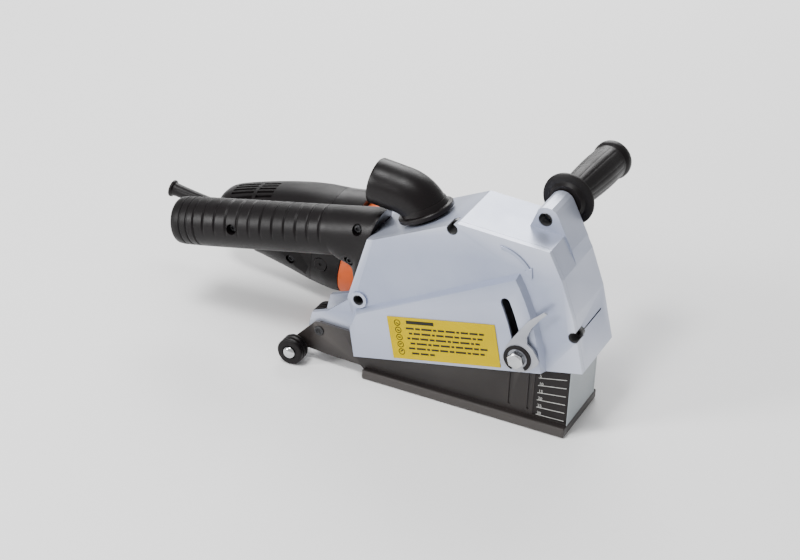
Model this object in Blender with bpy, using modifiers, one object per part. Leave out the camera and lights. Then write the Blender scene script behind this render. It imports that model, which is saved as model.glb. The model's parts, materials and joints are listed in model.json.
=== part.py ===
"""Wall chaser: a grinder-type motor unit driving two diamond discs inside a guard.

The machine hinges on its shoe behind the guard and plunges through it. Lengths are in
millimetres here and are turned into metres by MM. Machine parts are built in the machine's
own frame: u forward, y away from the operator's left side, v up, with its origin on the
shoe hinge. Shoe parts are built from the middle of the sole.
"""
import math

import bmesh
import bpy
from mathutils import Matrix, Vector

MM = 0.001
GAP = 0.3

# --- driving dimensions ---
PART_NAME = "wall_chaser"
SHOE_AT = (120.3, -40.35)
PIVOT = (-129.7, 29.8)          # shoe hinge from the middle of the sole: forward, up
PITCH = 12.0                    # degrees the machine stands nose-up at zero depth
SOLE = (88.0, 34.4, 8.2)        # half length, half width, thickness
SHOE_WALL = (26.0, 28.6)        # inner and outer face of the shoe's side walls
AXLE = (-148.7, 11.3)           # roller axle from the middle of the sole
ROLLER_RADIUS = 11.2
ROLLER_Y = {"near": 37.8, "far": 22.0}   # each roller's distance from the middle
GUARD_HALF = 31.2               # half width of the guard
GUARD_WALL = 2.2
SPLIT = -26.0                   # joint between the guard's cover and its housing
PLATEAU = 36.4                  # outer face of the cover's raised panel
SPINDLE = (132.0, 18.7)
DISC_RADIUS = 75.0
DISC_Y = 13.0
MOTOR_Y = 88.0                  # motor axis, level with the spindle
CLAMP_RADIUS = 180.0            # clamp bolt's distance from the hinge
CLAMP_ANGLE = -0.9              # its direction at rest, degrees
SLOT_SWEEP = 15.0
PORT = (99.4, 96.8)             # dust port's centre on the roof
PORT_TILT = 13.75               # roof slope there, degrees
TUBE_RADIUS = (18.7, 16.3)
HANDLE = (202.0, 98.3)          # front handle's axis where it crosses the boss's middle
HANDLE_BOSS_Y = 12.0
HANDLE_TURN = 4.5               # degrees the handle points forward
GRIP_AXIS_V = 78.3
GRIP_RADIUS = 20.2
GRIP_Y = -2.0
GRIP_END = -130.5
GRIP_SCREWS = ((-70.5, 82.0), (45.5, 88.0), (33.0, 60.0))
SEAM_SLANT = 0.41               # forward lean of the seams round the motor
SLEEVE_START = (-146.0, MOTOR_Y, 45.0)
SLEEVE_END = (-198.5, MOTOR_Y, 63.8)
COVER_SEAM = -27.0              # rear edge of the orange motor housing, level with the hinge
HANDLE_SEAM = -56.0             # front edge of the rear handle, level with the hinge
FAR_EAR = (12.0, 14.6)          # inner and outer face of the shoe's far hinge ear
CROWN_TEETH = 41
PINION_TEETH = 11

PALETTE = {
    "alloy": ((0.60, 0.61, 0.68), 0.38, 0.85),
    "shoe": ((0.055, 0.046, 0.042), 0.42, 0.30),
    "black": ((0.022, 0.019, 0.020), 0.45, 0.0),
    "orange": ((0.75, 0.16, 0.06), 0.45, 0.0),
    "yellow": ((0.83, 0.62, 0.03), 0.50, 0.0),
    "steel": ((0.62, 0.63, 0.64), 0.28, 1.0),
    "dark_steel": ((0.10, 0.10, 0.11), 0.40, 0.8),
    "copper": ((0.72, 0.35, 0.18), 0.35, 1.0),
    "diamond": ((0.33, 0.33, 0.34), 0.60, 0.6),
    "red": ((0.55, 0.03, 0.02), 0.45, 0.0),
}

for old in list(bpy.data.objects):
    bpy.data.objects.remove(old, do_unlink=True)

PARTS = bpy.data.collections.new(PART_NAME)
CUTTERS = bpy.data.collections.new("cutters")
for group in (PARTS, CUTTERS):
    bpy.context.scene.collection.children.link(group)


# ---------------------------------------------------------------- helpers

def look(name):
    """Principled material of the palette, made once."""
    found = bpy.data.materials.get(name)
    if found:
        return found
    colour, rough, metal = PALETTE[name]
    made = bpy.data.materials.new(name)
    made.use_nodes = True
    shader = made.node_tree.nodes["Principled BSDF"]
    shader.inputs["Base Color"].default_value = (*colour, 1.0)
    shader.inputs["Roughness"].default_value = rough
    shader.inputs["Metallic"].default_value = metal
    return made


def empty(name, at, parent=None, pitch=0.0):
    """Named frame at a point in millimetres, turned nose-up by pitch degrees."""
    made = bpy.data.objects.new(name, None)
    CUTTERS.objects.link(made)
    made.parent = parent
    made.location = Vector(at) * MM
    made.rotation_euler = (0.0, -math.radians(pitch), 0.0)
    return made


def add(mesh, name, colour, parent, at=(0, 0, 0), turn=(0, 0, 0)):
    """Object for a mesh: a part when it has a colour, otherwise a cutter."""
    made = bpy.data.objects.new(name or "cutter", mesh)
    made.parent = parent
    made.location = Vector(at) * MM
    made.rotation_euler = turn
    if colour is None:
        CUTTERS.objects.link(made)
        made.hide_render = True
        made.display_type = "WIRE"
    else:
        PARTS.objects.link(made)
        mesh.materials.append(look(colour))
    return made


def direction(axis):
    """Euler angles that turn local Z to a named axis or a vector."""
    named = {"X": (1, 0, 0), "Y": (0, 1, 0), "Z": (0, 0, 1)}
    vector = Vector(named.get(axis, axis) if isinstance(axis, str) else axis)
    return vector.to_track_quat("Z", "Y").to_euler()


def mesh_from(bm, name):
    mesh = bpy.data.meshes.new(name or "cutter")
    bmesh.ops.recalc_face_normals(bm, faces=bm.faces)
    bm.to_mesh(mesh)
    bm.free()
    mesh.shade_smooth()
    mesh.set_sharp_from_angle(angle=math.radians(35))
    return mesh


def rod(name, colour, parent, at, axis, radius, length, sides=32, end=None):
    """Cylinder, prism or cone about an axis, centred at a point."""
    bm = bmesh.new()
    last = radius if end is None else end
    bmesh.ops.create_cone(bm, cap_ends=True, segments=sides, radius1=radius * MM,
                          radius2=last * MM, depth=length * MM)
    return add(mesh_from(bm, name), name, colour, parent, at, direction(axis))


def block(name, colour, parent, low, high, turn=(0, 0, 0)):
    """Box between two corners, turned about its centre."""
    size = [h - l for l, h in zip(low, high)]
    centre = [(h + l) / 2 for l, h in zip(low, high)]
    bm = bmesh.new()
    bmesh.ops.create_cube(bm, size=1.0)
    bmesh.ops.scale(bm, vec=Vector(size) * MM, verts=bm.verts)
    return add(mesh_from(bm, name), name, colour, parent, centre, turn)


def turned(name, colour, parent, at, axis, profile, steps=32, ring=False):
    """Turned piece from (radius, station) points that run down its outer side."""
    bm = bmesh.new()
    verts = [bm.verts.new((r * MM, 0.0, z * MM)) for r, z in profile]
    pairs = list(zip(verts, verts[1:]))
    if ring:
        pairs.append((verts[-1], verts[0]))
    for a, b in pairs:
        bm.edges.new((a, b))
    mesh = bpy.data.meshes.new(name or "cutter")
    bm.to_mesh(mesh)
    bm.free()
    made = add(mesh, name, colour, parent, at, direction(axis))
    screw = made.modifiers.new("turn", "SCREW")
    screw.steps = steps
    screw.render_steps = steps
    screw.use_merge_vertices = True
    screw.merge_threshold = 0.00001
    screw.use_smooth_shade = True
    return made


def slab(name, colour, parent, outline, low, high):
    """Flat outline in the (u, v) plane, extruded from one y to another."""
    curve = bpy.data.curves.new("outline", "CURVE")
    curve.dimensions = "2D"
    curve.fill_mode = "BOTH"
    curve.extrude = (high - low) / 2 * MM
    spline = curve.splines.new("POLY")
    spline.points.add(len(outline) - 1)
    for point, (u, v) in zip(spline.points, outline):
        point.co = (u * MM, v * MM, 0.0, 1.0)
    spline.use_cyclic_u = True
    flat = add_curve(curve)
    return add(as_mesh(flat, name), name, colour, parent, (0, (low + high) / 2, 0),
               (math.pi / 2, 0.0, 0.0))


def add_curve(curve):
    made = bpy.data.objects.new("curve", curve)
    CUTTERS.objects.link(made)
    return made


def as_mesh(curve_object, name):
    """Mesh of a curve object with its caps welded; the curve is removed."""
    graph = bpy.context.evaluated_depsgraph_get()
    mesh = bpy.data.meshes.new_from_object(curve_object.evaluated_get(graph))
    mesh.name = name or "cutter"
    mesh.materials.clear()
    bm = bmesh.new()
    bm.from_mesh(mesh)
    bmesh.ops.remove_doubles(bm, verts=bm.verts, dist=0.000001)
    bmesh.ops.recalc_face_normals(bm, faces=bm.faces)
    bm.to_mesh(mesh)
    bm.free()
    bpy.data.objects.remove(curve_object, do_unlink=True)
    return mesh


def wire(name, colour, parent, route, radius, resolution=2, closed=False):
    """Round bar along a route of (u, y, v) points."""
    curve = bpy.data.curves.new("route", "CURVE")
    curve.dimensions = "3D"
    curve.bevel_depth = radius * MM
    curve.bevel_resolution = resolution
    curve.use_fill_caps = not closed
    spline = curve.splines.new("POLY")
    spline.points.add(len(route) - 1)
    for point, place in zip(spline.points, route):
        point.co = (*(Vector(place) * MM), 1.0)
    spline.use_cyclic_u = closed
    return add(as_mesh(add_curve(curve), name), name, colour, parent)


def loft(name, colour, parent, rings):
    """Solid skinned through rings of equally many points, capped at both ends."""
    bm = bmesh.new()
    rows = [[bm.verts.new(Vector(p) * MM) for p in ring] for ring in rings]
    count = len(rows[0])
    for row, following in zip(rows, rows[1:]):
        for i in range(count):
            j = (i + 1) % count
            bm.faces.new((row[i], row[j], following[j], following[i]))
    bm.faces.new(rows[0])
    bm.faces.new(rows[-1])
    return add(mesh_from(bm, name), name, colour, parent)


def oval(u, y, v, half_y, half_v, power=2.0, count=24):
    """Superellipse across the u axis; a higher power is squarer."""
    ring = []
    for i in range(count):
        angle = 2 * math.pi * i / count
        c = math.cos(angle)
        s = math.sin(angle)
        ring.append((u, y + half_y * math.copysign(abs(c) ** (2 / power), c),
                     v + half_v * math.copysign(abs(s) ** (2 / power), s)))
    return ring


def boolean(target, tool, operation):
    modifier = target.modifiers.new(operation.lower(), "BOOLEAN")
    modifier.operation = operation
    modifier.solver = "EXACT"
    modifier.object = tool


def cut(target, *tools):
    for tool in tools:
        boolean(target, tool, "DIFFERENCE")


def join(target, *tools):
    for tool in tools:
        boolean(target, tool, "UNION")


def keep(target, tool):
    boolean(target, tool, "INTERSECT")


def soften(target, width, segments=2, angle=35):
    """Rounded edges."""
    modifier = target.modifiers.new("round", "BEVEL")
    modifier.width = width * MM
    modifier.segments = segments
    modifier.limit_method = "ANGLE"
    modifier.angle_limit = math.radians(angle)


def arc(centre, radius, start, stop, count):
    """Points on a circle in the (u, v) plane, angles in degrees."""
    turns = [math.radians(start + (stop - start) * i / (count - 1)) for i in range(count)]
    return [(centre[0] + radius * math.cos(t), centre[1] + radius * math.sin(t))
            for t in turns]


def inset(outline, distance):
    """Outline moved inwards; its points run counter-clockwise."""
    result = []
    count = len(outline)
    for i in range(count):
        before = Vector(outline[i - 1])
        here = Vector(outline[i])
        after = Vector(outline[(i + 1) % count])
        first = (here - before).normalized()
        second = (after - here).normalized()
        normal_a = Vector((-first.y, first.x))
        normal_b = Vector((-second.y, second.x))
        middle = (normal_a + normal_b).normalized()
        result.append(tuple(here + middle * (distance / middle.dot(normal_a))))
    return result


def polar(radius, degrees):
    return (radius * math.cos(math.radians(degrees)), radius * math.sin(math.radians(degrees)))


# ---------------------------------------------------------------- frames

SHOE = empty("shoe_frame", (*SHOE_AT, 0.0))
MACHINE = empty("machine_frame", (PIVOT[0], 0.0, PIVOT[1]), SHOE, PITCH)
CLAMP_U, CLAMP_V = polar(CLAMP_RADIUS, CLAMP_ANGLE)


def in_shoe(u, v):
    """Machine point (u, v) as (forward, up) from the middle of the sole, at rest."""
    c = math.cos(math.radians(PITCH))
    s = math.sin(math.radians(PITCH))
    return (PIVOT[0] + u * c - v * s, PIVOT[1] + u * s + v * c)


CLAMP = in_shoe(CLAMP_U, CLAMP_V)

GUARD_OUTLINE = [
    (32.6, -16.7), (228.8, -16.7), (227.0, 29.9), (221.8, 61.6), (214.7, 85.4),
    (141.2, 104.7), (57.6, 84.2), (30.6, 31.0), (33.4, 8.8),
]
FACE_OUTLINE = GUARD_OUTLINE[:6] + [(65.6, 86.2), (39.5, 33.0), (33.6, 8.8)]


# ---------------------------------------------------------------- guard

def cavity_outline(outline):
    """Inside of a guard outline, open at the bottom."""
    inner = inset(outline, GUARD_WALL)
    inner[0] = (inner[0][0], -22.0)
    inner[1] = (inner[1][0], -22.0)
    return inner


TOP_SCREW = (136.0, 99.6)
FRONT_SCREW = (225.6, 14.2)
REAR_SCREW = (43.6, 32.8)
SCREWS = {"top": TOP_SCREW, "front": FRONT_SCREW, "rear": REAR_SCREW}
POCKET_RADIUS = 4.7
POCKET_END = -17.5


def arm_outline(gusset):
    """Hinge arm from the guard to the shoe's pivot; gusset is where its web meets the guard."""
    eye = arc((0, 0), 11.4, 250, 165, 5)
    return [(52.0, -4.0), (8.0, -11.0)] + eye + [(-6.0, 14.2), (9.0, 16.6), (36.0, gusset),
                                                (52.0, gusset)]


def inside_outline(low, high):
    """Space inside the guard's outline, a hair clear of its faces."""
    return slab(None, None, MACHINE, inset(GUARD_OUTLINE, 0.06), low, high)


def guard_housing():
    body = slab("guard_housing", "alloy", MACHINE, GUARD_OUTLINE, SPLIT, GUARD_HALF)
    cut(body, slab(None, None, MACHINE, cavity_outline(GUARD_OUTLINE), SPLIT - 2,
                   GUARD_HALF - GUARD_WALL))
    rear_mouth = block(None, None, MACHINE, (20, SPLIT - 2, -22),
                       (48, GUARD_HALF - GUARD_WALL, 18))
    cut(body, rear_mouth)
    for near, gusset in ((-24.8, 32.0), (FAR_EAR[0] - 4.8, 22.0)):
        join(body, slab(None, None, MACHINE, list(reversed(arm_outline(gusset))), near,
                        near + 4.4))
    bearing_nose = rod(None, None, MACHINE, (SPINDLE[0], 30.2, SPINDLE[1]), "Y", 27.0, 2.0, 28)
    join(body, bearing_nose)
    cut(body, rod(None, None, MACHINE, (SPINDLE[0], 30, SPINDLE[1]), "Y", 18.0, 20, 20))
    cut(body, rod(None, None, MACHINE, (*port_point(0), ), port_normal(), 17.0, 12, 24))
    join(body, slab(None, None, MACHINE, handle_boss_outline(), -2.0, 30.0))
    cut(body, rod(None, None, MACHINE, handle_point(HANDLE_BOSS_Y), handle_axis(), 5.8, 60, 16))
    for centre, depth in ((TOP_SCREW, -4.0), (FRONT_SCREW, -6.0), (REAR_SCREW, -8.0)):
        boss = rod(None, None, MACHINE, (centre[0], (SPLIT + depth) / 2, centre[1]), "Y",
                   5.8, depth - SPLIT, 14)
        keep(boss, inside_outline(SPLIT - 1, GUARD_HALF))
        join(body, boss)
        pocket = rod(None, None, MACHINE, (centre[0], (SPLIT + POCKET_END) / 2 - 5, centre[1]),
                     "Y", POCKET_RADIUS, POCKET_END - SPLIT + 10, 14)
        bore = rod(None, None, MACHINE, (centre[0], -10, centre[1]), "Y", 2.3, 60, 8)
        cut(body, pocket, bore)
    cut(body, rod(None, None, MACHINE, (0, 0, 0), "Y", 4.25, 80, 16))
    return body


def port_point(height):
    """Point on the dust port's axis, a height above the roof."""
    n = port_normal()
    return (PORT[0] + n[0] * height, 0.0, PORT[1] + n[2] * height)


def port_normal():
    tilt = math.radians(PORT_TILT)
    return (-math.sin(tilt), 0.0, math.cos(tilt))


def handle_axis():
    turn = math.radians(HANDLE_TURN)
    return (math.sin(turn), math.cos(turn), 0.0)


def handle_point(y):
    """Point on the front handle's axis."""
    return (HANDLE[0] + (y - HANDLE_BOSS_Y) * math.tan(math.radians(HANDLE_TURN)), y, HANDLE[1])


def handle_boss_outline():
    crown = arc(HANDLE, 10.2, 15, 125, 6)
    return [(222.0, 60.5), (219.6, 73.0)] + crown + [(187.0, 92.0), (196.0, 84.0)]


def plateau_outline():
    """Raised panel of the cover; its front edge is an arc about the shoe hinge."""
    front = arc((0, 0), 200.0, -4.8, 19.6, 9)
    return [(32.6, -16.7)] + front + [(39.0, 24.5), (33.4, 8.8)]


def slot_outline(centre_radius, start, sweep, half_width):
    """Curved slot about the shoe hinge with round ends."""
    first = arc((0, 0), centre_radius + half_width, start, start + sweep, 9)
    last = arc((0, 0), centre_radius - half_width, start + sweep, start, 9)
    head = arc(polar(centre_radius, start + sweep), half_width, start + sweep,
               start + sweep + 180, 7)
    foot = arc(polar(centre_radius, start), half_width, start + 180, start + 360, 7)
    return first + head[1:-1] + last + foot[1:-1]


def guard_cover():
    body = loft("guard_cover", "alloy", MACHINE,
                [[(u, y, v) for u, v in outline] for outline, y in
                 ((GUARD_OUTLINE, SPLIT - GAP), (GUARD_OUTLINE, SPLIT - 1.2),
                  (FACE_OUTLINE, -GUARD_HALF))])
    base = inset(plateau_outline(), 0.1)
    top = inset(base, 3.4)
    top[0] = (base[0][0], base[0][1])
    top[1] = (top[1][0], base[1][1])
    top[-1] = (base[-1][0], base[-1][1])
    rings = [[(u, -y, v) for u, v in outline]
             for outline, y in ((base, GUARD_HALF - 0.8), (top, PLATEAU))]
    panel = loft(None, None, MACHINE, rings)
    join(body, panel)
    cut(body, slab(None, None, MACHINE, cavity_outline(FACE_OUTLINE), -GUARD_HALF + GUARD_WALL,
                   SPLIT + 2))
    hollow = inset(base, 6.5)
    hollow[0] = (hollow[0][0], -22.0)
    hollow[1] = (hollow[1][0], -22.0)
    cut(body, slab(None, None, MACHINE, hollow, -PLATEAU + GUARD_WALL, -25.0))
    mouth = block(None, None, MACHINE, (20, -GUARD_HALF + GUARD_WALL, -22), (48, SPLIT + 2, 18))
    cut(body, mouth)
    ear = rod(None, None, MACHINE, (REAR_SCREW[0], -29.6, REAR_SCREW[1]), "Y", 7.2, 6.4, 16)
    join(body, ear)
    for centre in SCREWS.values():
        boss = rod(None, None, MACHINE, (centre[0], -28.6, centre[1]), "Y", 5.8, 4.6, 14)
        keep(boss, inside_outline(-GUARD_HALF, SPLIT + 1))
        join(body, boss)
        cut(body, rod(None, None, MACHINE, (centre[0], -32, centre[1]), "Y",
                      POCKET_RADIUS, 20, 14))
    slot = slot_outline(CLAMP_RADIUS, CLAMP_ANGLE - 0.3, SLOT_SWEEP, 3.9)
    cut(body, slab(None, None, MACHINE, slot, -45, -25))
    return body


def cover_screw(name, centre):
    """Socket cap screw that holds the cover."""
    head_end = POCKET_END - GAP
    screw = turned(name, "dark_steel", MACHINE, (centre[0], head_end, centre[1]), (0, -1, 0),
                   [(0, 4.0), (3.9, 4.0), (3.9, 0), (2.0, 0), (2.0, -9), (0, -9)], 14)
    cut(screw, rod(None, None, MACHINE, (centre[0], head_end - 4.0, centre[1]), "Y",
                   1.9, 5.0, 6))


def warning_label():
    block("warning_label", "yellow", MACHINE, (69.6, -PLATEAU - 0.6, -14.0),
          (163.0, -PLATEAU - 0.3, 23.0))


# ---------------------------------------------------------------- dust port

def elbow_route(reach):
    """Centre line of the dust elbow; reach lengthens both ends for a cutter."""
    start = port_point(GAP)
    tilt = math.radians(90 + PORT_TILT)
    bend = 26.0
    centre = (start[0] - bend * math.sin(tilt), start[2] + bend * math.cos(tilt))
    turn = [(p[0], 0.0, p[1]) for p in arc(centre, bend, PORT_TILT, PORT_TILT + 58.25, 8)]
    along = polar(24.6 + reach, 90 + PORT_TILT + 58.25)
    last = (turn[-1][0] + along[0], 0.0, turn[-1][2] + along[1])
    n = port_normal()
    first = (start[0] - n[0] * reach, 0.0, start[2] - n[2] * reach)
    route = [first] + turn[1:] + [last]
    if reach == 0:
        route = turn + [last]
    return route


def dust_elbow():
    hinge = empty("dust_elbow_axis", port_point(0), MACHINE, 0.0)
    body = wire("dust_elbow", "black", MACHINE, elbow_route(0), TUBE_RADIUS[0], 4)
    n = port_normal()
    flange = turned(None, None, MACHINE, port_point(GAP), n,
                    [(18, 6), (19.5, 4.5), (22.9, 3.6), (22.9, 0), (16.6, 0), (16.6, -3.4),
                     (14, -3.4), (14, 6)], 24, True)
    join(body, flange)
    cut(body, wire(None, None, MACHINE, elbow_route(8), TUBE_RADIUS[1], 3))
    world = body.matrix_basis.copy()
    body.parent = hinge
    body.matrix_basis = Matrix.Translation(-Vector(port_point(0)) * MM) @ world


# ---------------------------------------------------------------- shoe

def wall_outline():
    """Side wall of the shoe between its ends; the top edge clears the guard's inside."""
    return [(-88.0, 3.0), (87.8, 3.0), (87.8, 58.0), (83.5, 66.0), (70.0, 70.6), (30.0, 70.6),
            (20.0, 56.0), (-30.0, 47.0), (-88.0, 38.0)]


def tail_outline():
    """Hinge ear and axle heel behind the shoe's side walls."""
    ear = arc(PIVOT, 8.0, 75, 150, 6)
    heel = arc(AXLE, 7.2, 165, 290, 8)
    return ([(-139.0, 11.0), (-123.0, 9.7), (-92.0, 8.6), (-86.0, 4.0), (-86.0, 37.8),
             (-110.0, 37.0)] + ear + heel)


def base_shoe():
    half, width, thick = SOLE
    body = block("base_shoe", "shoe", SHOE, (-half, -width, 0), (half, width, thick))
    soften(body, 1.4, 2)
    inner, outer = SHOE_WALL
    for low, high in ((-outer, -inner), (inner, outer)):
        join(body, slab(None, None, SHOE, wall_outline(), low, high))
    for low, high, out in ((-outer, -inner, -31.2), (*FAR_EAR, FAR_EAR[1] + 0.9)):
        join(body, slab(None, None, SHOE, tail_outline(), low, high))
        middle = (low + high) / 2
        join(body, rod(None, None, SHOE, (AXLE[0], (middle + out) / 2, AXLE[1]), "Y", 6.4,
                       abs(out - middle), 24))
    join(body, block(None, None, SHOE, (-88, FAR_EAR[0] + 0.5, 3), (-84.6, outer - 0.5, 36)))
    front = block(None, None, SHOE, (84.9, -27.4, 3), (87.7, 27.4, 57.9))
    join(body, front)
    bridge = block(None, None, SHOE, (-122, -27, 10.2), (-112, FAR_EAR[0] + 1, 14.6))
    join(body, bridge)
    cut(body, block(None, None, SHOE, (-66, -18, -2), (71, 18, 20)))
    notch = slab(None, None, SHOE, arc((2.6, 47.0), 15.5, 180, 360, 10) + [(18.1, 80), (-14, 80)],
                 20, 40)
    cut(body, notch)
    cut(body, rod(None, None, SHOE, (PIVOT[0], 0, PIVOT[1]), "Y", 4.3, 80, 24))
    cut(body, rod(None, None, SHOE, (AXLE[0], 0, AXLE[1]), "Y", 3.3, 80, 24))
    cut(body, rod(None, None, SHOE, (CLAMP[0], -27, CLAMP[1]), "Y", 3.7, 20, 24))
    cut(body, block(None, None, SHOE, (58.6, -30, 10.8), (87.0, -27.6, 56.2)))
    for x in (38.5, 54.5):
        cut(body, block(None, None, SHOE, (x - 1.0, -30, 14), (x + 1.0, -27.8, 62)))
    return body


def depth_scale_plate():
    block("depth_scale_plate", "black", SHOE, (59.0, -28.5, 11.1), (86.6, -27.9, 55.8))


def pivot_pin():
    start = -SHOE_WALL[1] - 1.4
    end = FAR_EAR[1] + 1.4
    rod("pivot_pin", "steel", SHOE, (PIVOT[0], (start + end) / 2, PIVOT[1]), "Y", 4.0,
        end - start, 24)


def torsion_spring():
    """Coil on the pivot pin with one leg on the shoe and one under the guard."""
    turns = 3
    step = 40.0
    radius = 6.6
    first_angle = 20.0
    last_angle = 300.0 + 360.0 * turns
    count = round((last_angle - first_angle) / step)
    coil = []
    for i in range(count + 1):
        u, v = polar(radius, first_angle + (last_angle - first_angle) * i / count)
        coil.append((u, -15.0 + 12.0 * i / count, v))
    shoe_leg = [(12.0, -15.0, -13.4)]
    guard_leg = [(33.0, -3.0, 11.4)]
    wire("torsion_spring", "steel", MACHINE, shoe_leg + coil + guard_leg, 1.1, 1)


def roller_axle():
    start = -ROLLER_Y["near"] - 6.0
    end = ROLLER_Y["far"] + 6.0
    rod("roller_axle", "steel", SHOE, (AXLE[0], (start + end) / 2, AXLE[1]), "Y", 3.0,
        end - start, 20)


def roller(name, side):
    """Ribbed roller outside the shoe's side wall, turning on the axle."""
    rim = ROLLER_RADIUS
    profile = [(rim - 1.2, 6.2), (rim, 5.4), (rim, 2.6), (rim - 1.6, 1.9), (rim - 1.6, 1.1),
               (rim, 0.6), (rim, -2.2), (rim - 1.6, -2.7), (rim - 1.6, -3.5), (rim, -4.1),
               (rim, -5.4), (rim - 1.2, -6.2), (3.3, -6.2), (3.3, 3.4), (5.9, 3.4), (5.9, 6.2)]
    axis = empty("roller_" + name + "_axis", (AXLE[0], side * ROLLER_Y[name], AXLE[1]), SHOE)
    turned("roller_" + name, "black", axis, (0, 0, 0), (0, side, 0), profile, 18, True)


def axle_cap(name, side):
    """Domed cap screw in the end of the axle."""
    y = side * (ROLLER_Y[name] + 6.3)
    turned("axle_cap_" + name, "steel", SHOE, (AXLE[0], y, AXLE[1]), (0, side, 0),
           [(0, 2.6), (3.2, 2.4), (5.0, 1.2), (5.2, 0.0), (0, 0.0)], 16)


def clamp_set():
    """Bolt, washer, spacer ring and lever that lock the depth."""
    u, v = CLAMP
    bolt = rod("clamp_bolt", "steel", SHOE, (u, -33.6, v), "Y", 3.4, 15.2, 24)
    join(bolt, rod(None, None, SHOE, (u, -43.4, v), "Y", 7.0, 5.0, 6))
    nut = rod("clamp_nut", "steel", SHOE, (u, -23.6, v), "Y", 6.6, 4.0, 6)
    cut(nut, rod(None, None, SHOE, (u, -23.6, v), "Y", 3.7, 10, 24))
    turned("clamp_washer", "dark_steel", SHOE, (u, -PLATEAU - GAP, v), (0, -1, 0),
           [(8.6, 1.2), (8.6, 0), (3.8, 0), (3.8, 1.2)], 20, True)
    lever_axis = empty("depth_lever_axis", (u, -39.0, v), SHOE, PITCH)
    outline = [(-15.5, -5.0), (-14.0, -2.0), (-8.0, 10.5), (1.7, 21.0), (13.0, 32.5),
               (28.0, 41.5), (30.2, 40.0), (24.5, 35.5), (16.0, 27.5), (10.5, 19.0), (10.0, 13.0),
               (14.0, 8.5), (18.0, -1.5), (16.5, -4.5), (9.0, -10.0), (0.0, -12.0),
               (-9.0, -9.5)]
    lever = slab("depth_lever", "steel", lever_axis, list(reversed(outline)), -0.9, 0.9)
    cut(lever, rod(None, None, lever_axis, (0, 0, 0), "Y", 3.8, 20, 24))


# ---------------------------------------------------------------- cutting spindle

SPINDLE_AXIS = empty("spindle_axis", (SPINDLE[0], 0.0, SPINDLE[1]), MACHINE)


def spindle():
    """Shaft from the far bearing, through the crown gear, to the disc nut."""
    profile = [(0, 112), (4.8, 112), (4.8, 97), (7.6, 96), (7.6, 59), (6.6, 58), (6.6, 36),
               (7.8, 35), (7.8, 22.6), (6.9, 22.4), (6.9, -23.6), (6.2, -24.6), (0, -24.6)]
    turned("spindle", "steel", SPINDLE_AXIS, (0, 0, 0), "Y", profile, 16)


def collar(name, colour, low, high, outer, inner, sides=20):
    """Plain ring on the spindle between two stations."""
    return turned(name, colour, SPINDLE_AXIS, (0, 0, 0), "Y",
                  [(outer, high), (outer, low), (inner, low), (inner, high)], sides, True)


def disc_nut():
    nut = rod("disc_nut", "steel", SPINDLE_AXIS, (0, -20.4, 0), "Y", 12.0, 5.6, 6)
    cut(nut, rod(None, None, SPINDLE_AXIS, (0, -20.4, 0), "Y", 7.2, 12, 24))


def disc(name, y):
    """Diamond disc with a thicker segmented rim."""
    rim = DISC_RADIUS
    made = turned(name, "diamond", SPINDLE_AXIS, (0, y, 0), "Y",
                  [(rim, 1.2), (rim, -1.2), (rim - 9, -1.2), (rim - 9, -0.8), (7.2, -0.8),
                   (7.2, 0.8), (rim - 9, 0.8), (rim - 9, 1.2)], 36, True)
    gaps = 6
    for i in range(gaps):
        angle = 2 * math.pi * (i + 0.37) / gaps
        slot = block(None, None, SPINDLE_AXIS, (rim - 8, y - 3, -0.9), (rim + 4, y + 3, 0.9))
        slot.location = Matrix.Rotation(angle, 4, "Y") @ slot.location
        slot.rotation_euler = (0.0, angle, 0.0)
        cut(made, slot)


def crown_gear():
    """Bevel gear on the spindle, teeth towards the pinion."""
    body = gear("crown_gear", SPINDLE_AXIS, (0, 75.4, 0), (0, 1, 0), CROWN_TEETH, 24.0, 20.6, 8.6)
    cut(body, rod(None, None, SPINDLE_AXIS, (0, 75.4, 0), "Y", 7.9, 30, 32))
    return body


def gear(name, parent, at, axis, teeth, large, small, width):
    """Straight-toothed cone: every second edge vertex stands out as a tooth."""
    bm = bmesh.new()
    bmesh.ops.create_cone(bm, cap_ends=True, segments=teeth * 2, radius1=large * MM,
                          radius2=small * MM, depth=width * MM)
    step = math.pi / teeth
    for vert in bm.verts:
        turn = round(math.atan2(vert.co.y, vert.co.x) / step)
        if turn % 2:
            vert.co.x *= 0.93
            vert.co.y *= 0.93
    return add(mesh_from(bm, name), name, "dark_steel", parent, at, direction(axis))


# ---------------------------------------------------------------- gear case and motor

ARMATURE_AXIS = empty("armature_axis", (0.0, MOTOR_Y, SPINDLE[1]), MACHINE)


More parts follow.
